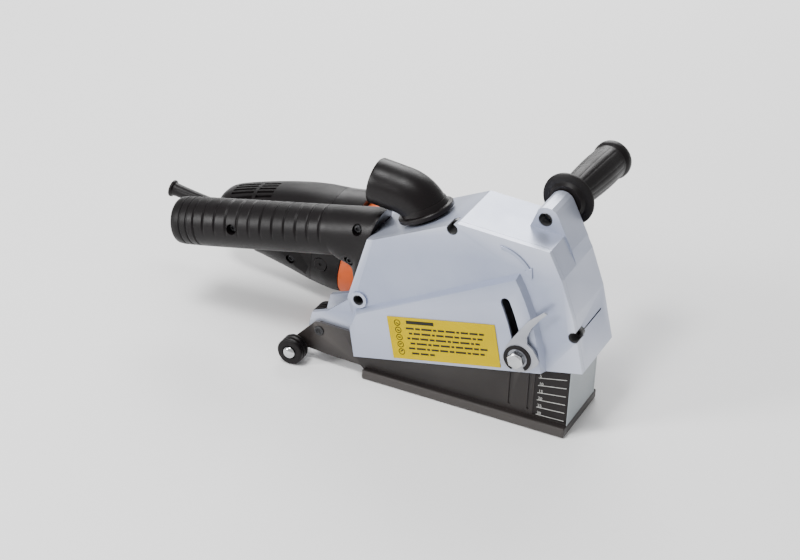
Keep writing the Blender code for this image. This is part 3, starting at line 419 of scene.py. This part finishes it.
EDGE_WIDTH = {"guard_cover": 0.9, "guard_housing": 1.0, "base_shoe": 0.6, "gear_case": 1.2,
              "depth_lever": 0.35, "warning_label": 0.0, "trigger": 1.4}
EDGE_ANGLE = {"guard_cover": 7, "guard_housing": 7, "base_shoe": 20, "depth_lever": 20}
for entry in frame["record"]["subparts"]:
    node = frame["nodes"][entry["node"]]
    node.data.materials.clear()
    node.data.materials.append(NODE_MATERIAL.get(entry["node"],
                                                 SLOT_MATERIAL[entry["material_slot"]]))
    round_edges(node, EDGE_WIDTH.get(entry["node"], 0.0), 3,
                EDGE_ANGLE.get(entry["node"], SMOOTH_ANGLE))


# ---------------------------------------------------------------- dust elbow

def port_point(height):
    tilt = math.radians(PORT_TILT)
    return Vector((PORT[0] - math.sin(tilt) * height, 0.0, PORT[1] + math.cos(tilt) * height))


def dust_elbow():
    """Smoothly bent tube with a rolled lip, and the flange it swivels on."""
    bend = 26.0
    sweep = 58.25
    tilt = math.radians(PORT_TILT)
    start = port_point(0.3)
    centre = start - Vector((math.cos(tilt), 0.0, math.sin(tilt))) * bend
    steps = 28
    stations = []
    for i in range(steps + 1):
        turn = math.radians(PORT_TILT + sweep * i / steps)
        spot = centre + Vector((math.cos(turn), 0.0, math.sin(turn))) * bend
        stations.append((spot, Vector((-math.sin(turn), 0.0, math.cos(turn)))))
    end, heading = stations[-1]
    for reach in (2, 6, 12, 18, 22.6, 23.8, 24.5):
        stations.append((end + heading * reach, heading))

    def ring(spot, way, radius):
        out = Vector((0.0, 1.0, 0.0)).cross(way)
        points = []
        for i in range(72):
            turn = 2 * math.pi * i / 72
            points.append(machine(*(spot + (Vector((0, 1, 0)) * math.cos(turn)
                                            + out * math.sin(turn)) * radius)))
        return points

    outer = [ring(spot, way, 18.7) for spot, way in stations[:-2]]
    outer += [ring(*stations[-2], 18.5), ring(*stations[-1], 17.9)]
    inner = [ring(*stations[-1], 17.0), ring(*stations[-2], 16.4)]
    inner += [ring(spot, way, 16.3) for spot, way in reversed(stations[:-2])]
    piece_from(skin(outer + inner, False), "elbow_tube", "dust_elbow", BLACK,
               ("dust_elbow",))
    normal = (machine(*port_point(1)) - machine(*port_point(0))).normalized()
    profile = [(16.6, -3.4), (16.6, 0.0), (22.4, 0.0), (22.9, 0.5), (22.9, 3.2), (22.3, 3.9),
               (19.8, 4.4), (19.1, 6.6), (18.72, 8.5), (16.0, 8.5), (16.0, -3.4)]
    piece_from(lathe(machine(*port_point(0.3)), normal, profile, 72, True), "elbow_flange",
               "dust_elbow", BLACK)


dust_elbow()


# ---------------------------------------------------------------- barrel grip

def flange_ring(centre, lift, half_y, half_up, power):
    low = Vector(GUARD_REAR[0])
    up = (Vector(GUARD_REAR[1]) - low).normalized()
    back = Vector((-up.y, up.x))
    ring = []
    for p in oval(0.0, GRIP_Y, centre, half_y, half_up, power):
        place = low + up * p.z + back * lift
        ring.append(Vector((place.x, p.y, place.y)))
    return ring


def groove(place, centre, half):
    """1 at a groove's middle, 0 outside it."""
    away = abs(place - centre) / half
    return 0.0 if away >= 1 else 0.5 + 0.5 * math.cos(math.pi * away)


def barrel_grip():
    """Rear barrel grip with its ring grooves, finger ribs and flange."""
    first_rib, rib_pitch, ribs = -98.0, 10.9, 11
    rear = [oval(GRIP_END + u, GRIP_Y, GRIP_V, r, r) for u, r in
            ((0.0, 15.6), (0.25, 17.2), (0.9, 18.5), (2.0, 19.2), (4.5, 19.6))]
    body = []
    u = GRIP_END + 6.0
    while u < 16.0:
        radius = 19.7 + 0.5 * min(1.0, (u - GRIP_END) / 24.0)
        ring = []
        for p in oval(u, GRIP_Y, GRIP_V, 1.0, 1.0):
            out = Vector((0.0, p.y - GRIP_Y, p.z - GRIP_V))
            dip = sum(groove(u, GRIP_END + g, 1.1) for g in (9.6, 16.2, 23.0)) * 0.9
            top = min(1.0, max(0.0, (out.z + 0.15) * 3.0))
            dip += sum(groove(u, first_rib + rib_pitch * k, 1.3) for k in range(ribs)) * 0.8 * top
            ring.append(Vector((u, GRIP_Y, GRIP_V)) + out * (radius - dip))
        body.append(ring)
        u += 0.55
    neck = [oval(16.6, GRIP_Y, GRIP_V, 20.2, 20.2),
            oval(24.0, GRIP_Y, GRIP_V - 1.6, 20.4, 22.0, lean=0.22),
            flange_ring(43.0, 9.0, 20.8, 28.0, 2.3), flange_ring(39.5, 3.0, 21.4, 34.6, 2.6),
            flange_ring(39.0, 0.5, 21.6, 35.6, 2.7)]
    rings = rear + body + smooth_rings(neck, 8)
    grip = piece_from(skin(to_row(rings)), "barrel_grip", "machine", SOFT,
                      ("barrel_grip_near", "barrel_grip_far"))
    cutters = [lathe(machine(REAR_SCREW[0], -40, REAR_SCREW[1]), (0, 1, 0),
                     [(0, 0), (7.6, 0), (7.6, 45), (0, 45)], 40)]
    for u, v in ((-70.5, 82.0), (45.5, 88.0), (33.0, 60.0)):
        cutters.append(lathe(machine(u, -32, v), (0, 1, 0),
                             [(0, 0), (4.4, 0), (4.4, 16.0), (0, 16.0)], 36))
        screw_head("grip_screw_" + str(round(v)), machine(u, -16.2, v), (0, -1, 0), 3.3, 2.2,
                   "machine")
    carve(grip, cutters)


def screw_head(name, at, axis, radius, height, body, nodes=(), recess=0.5):
    """Domed head with a socket."""
    hole = radius * recess
    profile = [(0, -0.6), (radius, -0.6), (radius, height * 0.6), (radius * 0.86, height * 0.9),
               (radius * 0.62, height)]
    bm = lathe(at, axis, profile + [(hole * 1.05, height), (hole, height - 0.2),
                                    (hole, height * 0.25), (0, height * 0.25)], 48)
    return piece_from(bm, name, body, DARK, nodes, 0.12, 2)


barrel_grip()


# ---------------------------------------------------------------- front handle

def front_handle():
    """Side handle with a faintly fluted grip between its flange and its end rim."""
    turn = math.radians(HANDLE_TURN)
    axis = ALONG * math.sin(turn) + ACROSS * math.cos(turn)
    base = machine(HANDLE[0] - HANDLE_BOSS_Y * math.tan(turn), 0.0, HANDLE[1])

    def flutes(radius, height, angle):
        if not 44.5 < height < 107.0:
            return radius
        window = min(1.0, (height - 44.5) / 3.0, (107.0 - height) / 3.0)
        wave = abs(math.sin(angle * 9)) ** 0.6
        return radius - 0.25 * window * (1.0 - wave)

    profile = [(0, 120.2), (9.5, 120.2), (12.4, 119.9), (14.4, 118.9), (15.7, 117.2),
               (16.2, 115.2), (16.2, 112.4), (15.6, 110.8), (14.6, 109.2)]
    for height in range(108, 44, -1):
        t = (height - 44) / 64
        profile.append((12.6 + 2.5 * math.sin(math.pi * 0.5 * min(1.0, t * 1.35)) -
                        0.5 * max(0.0, t - 0.75) * 4, height))
    profile += [(12.5, 43.6), (13.0, 41.6), (14.6, 39.9), (17.5, 39.1), (20.9, 38.7),
                (21.6, 38.1), (21.8, 37.2), (21.6, 36.1), (20.9, 35.6), (15.4, 34.9),
                (14.2, 33.9), (13.0, 32.2), (5.5, 32.2), (5.5, 60.0), (0, 60.0)]
    piece_from(lathe(base, axis, profile, 216, False, flutes), "front_handle_body", "machine",
               SOFT, ("front_handle_grip",))


front_handle()


# ---------------------------------------------------------------- gear case

def rod(u, y, v, way, radius, length, steps=56):
    """Solid cylinder between two ends, from machine point (u, y, v)."""
    return lathe(machine(u, y, v), way, [(0, 0), (radius, 0), (radius, length), (0, length)],
                 steps)


def gear_rooms():
    """Cutters for the gears, bearings, fan and lock pin inside the case."""
    u, v = SPINDLE_U, SPINDLE_V
    return [rod(u, 67.8, v, ACROSS, 27.5, 29.0), rod(75, MOTOR_Y, v, ALONG, 11.5, 50),
            rod(6, MOTOR_Y, v, ALONG, 34.5, 68.0), rod(73.5, MOTOR_Y, v, ALONG, 14.3, 13.0),
            rod(u, 25, v, ACROSS, 14.3, 40), rod(u, 47, v, ACROSS, 9.0, 30),
            rod(u, 96.1, v, ACROSS, 11.3, 17.0), rod(150, 66, v + 7, UP, 3.4, 40, 32)]


def gear_case():
    """Smooth cast case: the head along the motor, the neck to the guard and a bearing cap."""
    u, v = SPINDLE_U, SPINDLE_V
    head = [(0, 170), (8, 169.8), (13.5, 169.3), (18.5, 168.0), (23.0, 165.6), (26.6, 162.3),
            (29.4, 158.0), (31.4, 152.6), (32.9, 146.0), (33.9, 138.0), (34.4, 126.0),
            (34.5, 104.0), (34.9, 98.0), (35.9, 90.5), (37.2, 83.5), (38.2, 78.2), (38.6, 73.5),
            (38.6, 27.0), (37.9, 26.3), (37.9, 25.3), (38.6, 24.6), (38.6, 18.6), (0, 18.6)]
    shell = piece_from(lathe(machine(0, MOTOR_Y, v), ALONG, head, 96), "gear_head", "machine",
                       ALLOY, ("gear_case",))
    carve(shell, gear_rooms())
    neck = [(0, 0), (26.2, 0), (27.0, 0.8), (27.0, 26.0), (28.4, 31.0), (28.4, 56.4), (0, 56.4)]
    collar = piece_from(lathe(machine(u, 31.6, v), ACROSS, neck, 96), "gear_neck", "machine",
                        ALLOY)
    carve(collar, gear_rooms())
    dome = [(0, 0), (17.6, 0), (17.2, 10.0), (17.0, 22.6), (16.2, 23.6), (10.5, 24.0),
            (9.7, 23.2), (0, 23.2)]
    cap = piece_from(lathe(machine(u, 100.0, v), ACROSS, dome, 72), "bearing_cap", "machine",
                     ALLOY)
    carve(cap, gear_rooms())
    for k in range(3):
        turn = math.radians(90 + 120 * k)
        spot = machine(u + 13.4 * math.cos(turn), 123.4, v + 13.4 * math.sin(turn))
        screw_head("cap_screw_" + str(k), spot, (0, 1, 0), 1.9, 1.0, "machine")
    for k in range(4):
        turn = math.radians(45 + 90 * k)
        out = ACROSS * math.cos(turn) + UP * math.sin(turn)
        spot = machine(30.5, MOTOR_Y, v) + out * 38.2 * MM
        screw_head("case_screw_" + str(k), spot, out, 2.6, 1.1, "machine")


gear_case()


# ---------------------------------------------------------------- motor and rear handle

def body_rings():
    stations = [(12.0, 67.6, -20.6, 39.4, 2.15), (-20.0, 68.5, -20.6, 39.4, 2.15),
                (-36.0, 70.2, -19.5, 38.6, 2.2), (-46.0, 71.6, -17.0, 36.6, 2.3),
                (-62.0, 72.6, -11.0, 33.5, 2.4), (-80.0, 72.6, -2.5, 30.0, 2.5),
                (-100.0, 71.5, 6.5, 27.0, 2.6), (-122.0, 69.6, 16.5, 24.5, 2.6),
                (-136.0, 67.4, 23.0, 22.0, 2.6), (-143.0, 63.6, 28.0, 18.5, 2.5),
                (-147.5, 56.5, 35.0, 12.5, 2.4)]
    return [oval(u, MOTOR_Y, (top + low) / 2, wide, (top - low) / 2, power)
            for u, top, low, wide, power in stations]


def seam_cut(bm, offset, keep_front):
    """Trim on a slanted seam plane and close the cut."""
    spot = machine(offset, MOTOR_Y, 0.0)
    normal = (ALONG - UP * SEAM_SLANT).normalized()
    result = bmesh.ops.bisect_plane(bm, geom=bm.verts[:] + bm.edges[:] + bm.faces[:], dist=1e-6,
                                    plane_co=spot, plane_no=normal, clear_inner=keep_front,
                                    clear_outer=not keep_front)
    edges = [g for g in result["geom_cut"] if isinstance(g, bmesh.types.BMEdge)]
    bmesh.ops.edgeloop_fill(bm, edges=edges)


def vent_slots():
    """Cutters for the rows of lengthwise air slots in the handle's top."""
    cutters = []
    for first, last in ((-131.0, -108.0), (-104.5, -88.0)):
        for k in range(5):
            y = MOTOR_Y - 17.0 + 4.6 * k
            corners = [(first + 1.2, 60.0), (last + 1.2, 60.0), (last, 80.0), (first, 80.0)]
            cutters.append(plate([machine(u, y, v) for u, v in corners], ACROSS * 2.6 * MM))
    return cutters


def motor():
    """Orange field housing, black brush cover and the two-part rear handle."""
    ring = [oval(u, MOTOR_Y, SPINDLE_V + 1.2, 38.6 - d, 40.2 - d, 2.05) for u, d in
            ((-44.0, 0.0), (15.4, 0.0), (17.4, 0.5), (18.2, 1.6))]
    housing = skin(to_row(ring))
    seam_cut(housing, COVER_SEAM + 0.3, True)
    piece_from(housing, "field_housing", "machine", ORANGE, ("motor_housing",), 0.5)
    rings = to_row(smooth_rings(body_rings(), 10))
    cover = skin(rings)
    seam_cut(cover, COVER_SEAM, False)
    seam_cut(cover, HANDLE_SEAM + 0.3, True)
    cover_piece = piece_from(cover, "brush_cover", "machine", BLACK, ("motor_cover",),
                             0.0)
    carve(cover_piece, [lathe(machine(BRUSH_U, MOTOR_Y - 60, SPINDLE_V), (0, 1, 0),
                              [(0, 0), (6.6, 0), (6.6, 25.6), (0, 25.6)], 48),
                        lathe(machine(BRUSH_U, MOTOR_Y + 60, SPINDLE_V), (0, -1, 0),
                              [(0, 0), (6.6, 0), (6.6, 25.6), (0, 25.6)], 48)])
    handle = skin(rings)
    seam_cut(handle, HANDLE_SEAM, False)
    handle_piece = piece_from(handle, "rear_handle", "machine", SOFT,
                              ("rear_handle_near", "rear_handle_far"), 0.0)
    trigger_slot = [(-132.5, -10.0), (-87.5, -10.0), (-87.5, 32.0), (-132.5, 32.0)]
    cuts = [plate([machine(u, MOTOR_Y - 8.2, v) for u, v in trigger_slot],
                  ACROSS * 16.4 * MM)]
    pad = [(-92.0, 12.0), (-62.0, 1.0), (-52.0, 14.0), (-58.0, 27.0), (-84.0, 30.0)]
    cuts.append(plate([machine(u, MOTOR_Y - 50, v) for u, v in pad], ACROSS * 20.5 * MM))
    cuts.append(lathe(machine(-72.0, MOTOR_Y - 45, 17.0), (0, 1, 0),
                      [(0, 0), (4.2, 0), (4.2, 20.0), (0, 20.0)], 36))
    cuts.append(lathe(machine(LOCK_OFF[0], MOTOR_Y - 40, LOCK_OFF[1]), (0, 1, 0),
                      [(0, 0), (4.1, 0), (4.1, 34.0), (0, 34.0)], 36))
    screw_head("handle_screw", machine(-72.0, MOTOR_Y - 25.6, 17.0), (0, -1, 0), 3.3, 2.0,
               "machine")
    cuts += vent_slots()
    carve(handle_piece, cuts)
    for label, side in (("near", -1), ("far", 1)):
        spot = machine(BRUSH_U, MOTOR_Y + side * 34.6, SPINDLE_V)
        profile = [(0, 0), (6.2, 0), (6.2, 2.9), (5.7, 3.5), (1.2, 3.5), (1.2, 2.6), (0, 2.6)]
        piece_from(lathe(spot, ACROSS * side, profile, 48), "brush_cap_" + label + "_turned",
                   "machine", BLACK, ("brush_cap_" + label,), 0.2)


motor()


def cord_sleeve():
    """Flexible strain relief with its flared rim."""
    start = machine(*SLEEVE_START)
    way = machine(*SLEEVE_END) - start
    end = way.length / MM
    profile = [(3.4, end), (6.9, end), (7.5, end - 0.5), (7.6, end - 1.4), (7.3, end - 2.3),
               (6.1, end - 3.2)]
    profile += [(5.7, end - 6.0), (5.45, end - 14.0), (5.3, end - 26.0), (5.35, 12.0),
                (5.3, -5.0), (3.4, -5.0)]
    piece_from(lathe(start, way, profile, 64, True), "strain_relief", "machine", SOFT,
               ("cord_sleeve",), 0.15, 2)


cord_sleeve()


# ---------------------------------------------------------------- shoe pieces

def rollers():
    for label, side, y in (("near", -1, 37.8), ("far", 1, 22.0)):
        rim = ROLLER_RADIUS
        profile = [(3.4, 3.4), (5.9, 3.4), (5.9, 6.2), (rim - 1.5, 6.2), (rim - 0.5, 5.8),
                   (rim, 5.0), (rim, 3.0), (rim - 1.5, 2.4), (rim - 1.5, 1.0), (rim, 0.5),
                   (rim, -2.0), (rim - 1.5, -2.5), (rim - 1.5, -3.7), (rim, -4.2), (rim, -5.0),
                   (rim - 0.5, -5.8), (rim - 1.5, -6.2), (3.4, -6.2)]
        spot = sole(AXLE[0], side * y, AXLE[1])
        piece_from(lathe(spot, ACROSS * side, profile, 72, True), "roller_tread_" + label,
                   "roller_" + label, SOFT, ("roller_" + label,), 0.25, 3)
        cap = [(0, 2.7), (1.6, 2.6), (3.2, 2.2), (4.4, 1.5), (5.1, 0.6), (5.2, 0.0), (0, 0.0)]
        piece_from(lathe(sole(AXLE[0], side * (y + 6.3), AXLE[1]), ACROSS * side, cap, 48),
                   "axle_dome_" + label, "shoe", STEEL, ("axle_cap_" + label,), 0.1, 2)


rollers()


def clamp():
    """Hexagon bolt with its chamfers, and the open black ring round its head."""
    low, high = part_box("clamp_bolt")
    spot = Vector(((low[0] + high[0]) / 2, low[1], (low[2] + high[2]) / 2))
    bolt = lathe(spot, (0, 1, 0), [(0, 0.0), (5.4, 0.0), (7.0, 0.9), (7.0, 5.0), (0, 5.0)], 6)
    shank = lathe(spot, (0, 1, 0), [(0, 4.9), (3.4, 4.9), (3.4, 19.6), (0, 19.6)], 48)
    piece_from(merged([bolt, shank]), "clamp_hex_bolt", "shoe", STEEL,
               ("clamp_bolt",), 0.25, 3)
    spot = spot + Vector((0, 5.05, 0)) * MM
    ring = []
    for i in range(41):
        turn = math.radians(-50 + 300 * i / 40)
        ring.append((math.cos(turn), math.sin(turn)))
    outline = [spot + Vector((c * 11.4, 0, s * 11.4)) * MM for c, s in ring]
    outline += [spot + Vector((c * 8.2, 0, s * 8.2)) * MM for c, s in reversed(ring)]
    piece_from(plate(outline, Vector((0, 1.1, 0)) * MM), "clamp_spring_ring", "depth_lever",
               BLACK, (), 0.15, 2)


clamp()


def pivot():
    low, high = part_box("pivot_pin")
    spot = Vector((HINGE.x, low[1], HINGE.z))
    length = (high[1] - low[1]) / MM
    profile = [(0, 0.5), (1.6, 0.5), (2.0, 0.0), (3.6, 0.0), (4.0, 0.4), (4.0, length - 0.4),
               (3.6, length), (0, length)]
    piece_from(lathe(spot, (0, 1, 0), profile, 48), "hinge_pin", "shoe", DARK,
               ("pivot_pin",))


pivot()


def pocket_shade_cup(name, at, axis, radius, depth, face=None):
    """Dark cup in a screw pocket, painted shade for its hollow, trimmed where the pocket breaks
    through a face.
    """
    profile = [(radius, 0.3), (radius - 0.5, 0.0), (radius - 0.5, depth), (radius, depth)]
    bm = lathe(at, axis, profile, 40, True)
    if face:
        spot, normal = face
        result = bmesh.ops.bisect_plane(bm, geom=bm.verts[:] + bm.edges[:] + bm.faces[:],
                                        dist=1e-7, plane_co=spot, plane_no=normal,
                                        clear_outer=True)
        edges = [g for g in result["geom_cut"] if isinstance(g, bmesh.types.BMEdge)]
        bmesh.ops.edgeloop_fill(bm, edges=edges)
    # the dark cup is painted shade inside the hollow
    piece_from(bm, name, "machine", DARK)


# Dark cups of painted shade in the guard's three screw pockets and in the side handle's boss
# hole.
def pocket_shades():
    tilt = math.radians(PORT_TILT)
    roof = (machine(PORT[0], 0, PORT[1] - 2.7), UP * math.cos(tilt) - ALONG * math.sin(tilt))
    lean = math.atan2(1.8, 46.6)
    nose = (machine(227.5, 0, 10.0), ALONG * math.cos(lean) + UP * math.sin(lean))
    for label, (u, v), face in (("top", TOP_SCREW, roof), ("front", FRONT_SCREW, nose),
                                ("rear", REAR_SCREW, None)):
        start = -32.6 if label == "rear" else FACE_Y + 0.3
        pocket_shade_cup("pocket_" + label, machine(u, start, v), (0, 1, 0), 4.5,
                     SCREW_FLOOR - start, face)
    turn = math.radians(HANDLE_TURN)
    axis = ALONG * math.sin(turn) + ACROSS * math.cos(turn)
    spot = machine(HANDLE[0] - 14.0 * math.tan(turn), -1.9, HANDLE[1])
    pocket_shade_cup("boss_shade_cup", spot, axis, 5.6, 8.2)


pocket_shades()


# ---------------------------------------------------------------- marks

def bar(u0, u1, v, height, y, lean=0.0):
    """Printed bar on the machine's near side."""
    corners = [(u0, v - height / 2), (u1, v - height / 2 + lean * (u1 - u0)),
               (u1, v + height / 2 + lean * (u1 - u0)), (u0, v + height / 2)]
    return plate([machine(u, y, w) for u, w in corners], Vector((0, 0.05, 0)) * MM)


def label_print():
    """Plain bars for lines of print and plain discs for signs; there is no wording."""
    y = PANEL_Y - 0.66
    parts = [bar(86.0, 110.0, 19.0, 3.0, y)]
    lengths = (7.0, 4.2, 9.0, 3.0, 5.6, 8.0, 2.6, 6.4)
    for line in range(6):
        v = 13.6 - 4.4 * line
        u = 85.0 + 2.0 * (line % 2)
        limit = 154.0 - 3.0 * (line % 3) - (40.0 if line == 5 else 0.0)
        k = line * 3
        while u < limit - 2.5:
            width = min(lengths[k % len(lengths)], limit - u)
            parts.append(bar(u, u + width, v, 1.7, y))
            u += width + 1.2
            k += 1
    for k in range(5):
        v = 18.0 - 6.4 * k
        spot = machine(78.0, y, v)
        parts.append(lathe(spot, (0, 1, 0), [(2.1, 0.0), (2.8, 0.0), (2.8, 0.05), (2.1, 0.05)],
                           32, True))
        parts.append(bar(76.8, 79.2, v, 1.0, y, 0.25 * (k - 2)))
    piece_from(merged(parts), "label_marks", "machine", INK)


label_print()


def shoe_rails():
    """Raised frame of the clamp's channel on the near wall, beside the scale."""
    inner = -27.35
    parts = []
    for x0, x1, z0, z1 in ((36.2, 37.3, 12.6, 46.0), (55.7, 56.8, 12.6, 50.0),
                           (37.3, 55.7, 12.6, 13.7), (58.0, 58.8, 10.2, 50.0)):
        corners = [(x0, z0), (x1, z0), (x1, z1), (x0, z1)]
        parts.append(plate([sole(x, inner, z) for x, z in corners], ACROSS * -0.85 * MM))
    piece_from(merged(parts), "clamp_channel", "shoe", SHOE, (), 0.2, 2)


shoe_rails()


def scale_marks():
    """Depth lines and their numbers on the plate beside the guard's lower edge."""
    y = -28.62
    distance = 24.9
    parts = []
    for k, turn in enumerate((12.0, 10.0, 8.0, 6.0, 4.0, 2.0)):
        c = math.cos(math.radians(turn))
        s = math.sin(math.radians(turn))

        def height(x):
            reach = (x - HINGE_X - distance * s) / c
            return 29.8 + reach * s - distance * c

        corners = [(61.5, -0.25), (85.0, -0.25), (85.0, 0.25), (61.5, 0.25)]
        parts.append(plate([sole(x, y, height(x) + d) for x, d in corners],
                           Vector((0, 0.1, 0)) * MM))
        text = bpy.data.curves.new("depth_number_" + str(k), "FONT")
        text.body = str(5 * (k + 1))
        text.size = 3.6 * MM
        text.extrude = 0.03 * MM
        mark = bpy.data.objects.new("depth_number_" + str(k), text)
        bpy.context.scene.collection.objects.link(mark)
        mark.location = sole(62.3, y, height(62.3) + 0.7)
        mark.rotation_euler = (math.radians(90), 0, 0)
        text.materials.append(WHITE)
        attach(mark, "shoe")
    piece_from(merged(parts), "depth_lines", "shoe", WHITE)


scale_marks()


def turning_arrow():
    """Raised arrow on the guard for the way the discs turn."""
    centre = (168.0, 58.0)
    middle = 30.2
    inner = middle - 1.5
    outer = middle + 1.5
    turns = [math.radians(78 - 54 * i / 16) for i in range(17)]
    outline = [(centre[0] + outer * math.cos(t), centre[1] + outer * math.sin(t)) for t in turns]
    tip = math.radians(8)
    last = turns[-1]
    outline.append((centre[0] + (outer + 2.2) * math.cos(last),
                    centre[1] + (outer + 2.2) * math.sin(last)))
    outline.append((centre[0] + middle * math.cos(tip), centre[1] + middle * math.sin(tip)))
    outline.append((centre[0] + (inner - 2.2) * math.cos(last),
                    centre[1] + (inner - 2.2) * math.sin(last)))
    outline += [(centre[0] + inner * math.cos(t), centre[1] + inner * math.sin(t))
                for t in reversed(turns)]
    points = [machine(u, FACE_Y - 1.3, v) for u, v in outline]
    piece_from(plate(points, Vector((0, 1.5, 0)) * MM), "turning_arrow", "machine", ALLOY,
               (), 0.45, 3)


turning_arrow()


# ---------------------------------------------------------------- stage

def studio():
    """Pale floor, soft lights and the camera."""
    bm = bmesh.new()
    bmesh.ops.create_grid(bm, x_segments=1, y_segments=1, size=6.0)
    mesh = bpy.data.meshes.new("floor")
    bm.to_mesh(mesh)
    bm.free()
    floor = bpy.data.objects.new("floor", mesh)
    floor.location.z = -0.0002
    bpy.context.scene.collection.objects.link(floor)
    paint = bpy.data.materials.new("pale_floor")
    paint.use_nodes = True
    paint.node_tree.nodes["Principled BSDF"].inputs["Base Color"].default_value = (0.9, 0.9, 0.9,
                                                                                 1.0)
    paint.node_tree.nodes["Principled BSDF"].inputs["Roughness"].default_value = 0.9
    mesh.materials.append(paint)
    world = bpy.data.worlds.new("studio")
    bpy.context.scene.world = world
    world.use_nodes = True
    sky = world.node_tree.nodes["Background"]
    sky.inputs["Color"].default_value = (1.0, 1.0, 1.0, 1.0)
    sky.inputs["Strength"].default_value = 0.62
    for name, place, power, size in (("key", (-1.5, -1.7, 1.0), 52.0, 0.6),
                                     ("top", (-0.3, -0.8, 2.2), 42.0, 0.6),
                                     ("rim", (-0.5, 1.5, 1.1), 34.0, 1.2)):
        lamp = bpy.data.lights.new(name, "AREA")
        lamp.energy = power
        lamp.size = size
        light = bpy.data.objects.new(name, lamp)
        light.location = place
        light.rotation_euler = (Vector((0, 0, 0.08)) - light.location).to_track_quat(
            "-Z", "Y").to_euler()
        bpy.context.scene.collection.objects.link(light)
    view = bpy.data.cameras.new("camera")
    view.sensor_width = 36.0
    view.lens = 101.8
    camera = bpy.data.objects.new("camera", view)
    right = Vector((0.89837, 0.43737, 0.04072)).normalized()
    back = Vector((0.35978, -0.78583, 0.50302)).normalized()
    above = back.cross(right).normalized()
    right = above.cross(back)
    turn = Matrix((right, above, back)).transposed().to_4x4()
    middle = sole(0.0, 0.0, 0.0)
    turn.translation = Vector((0.57550 + middle.x, -1.41713 + middle.y, 0.98602))
    camera.matrix_world = turn
    bpy.context.scene.collection.objects.link(camera)
    bpy.context.scene.camera = camera


studio()
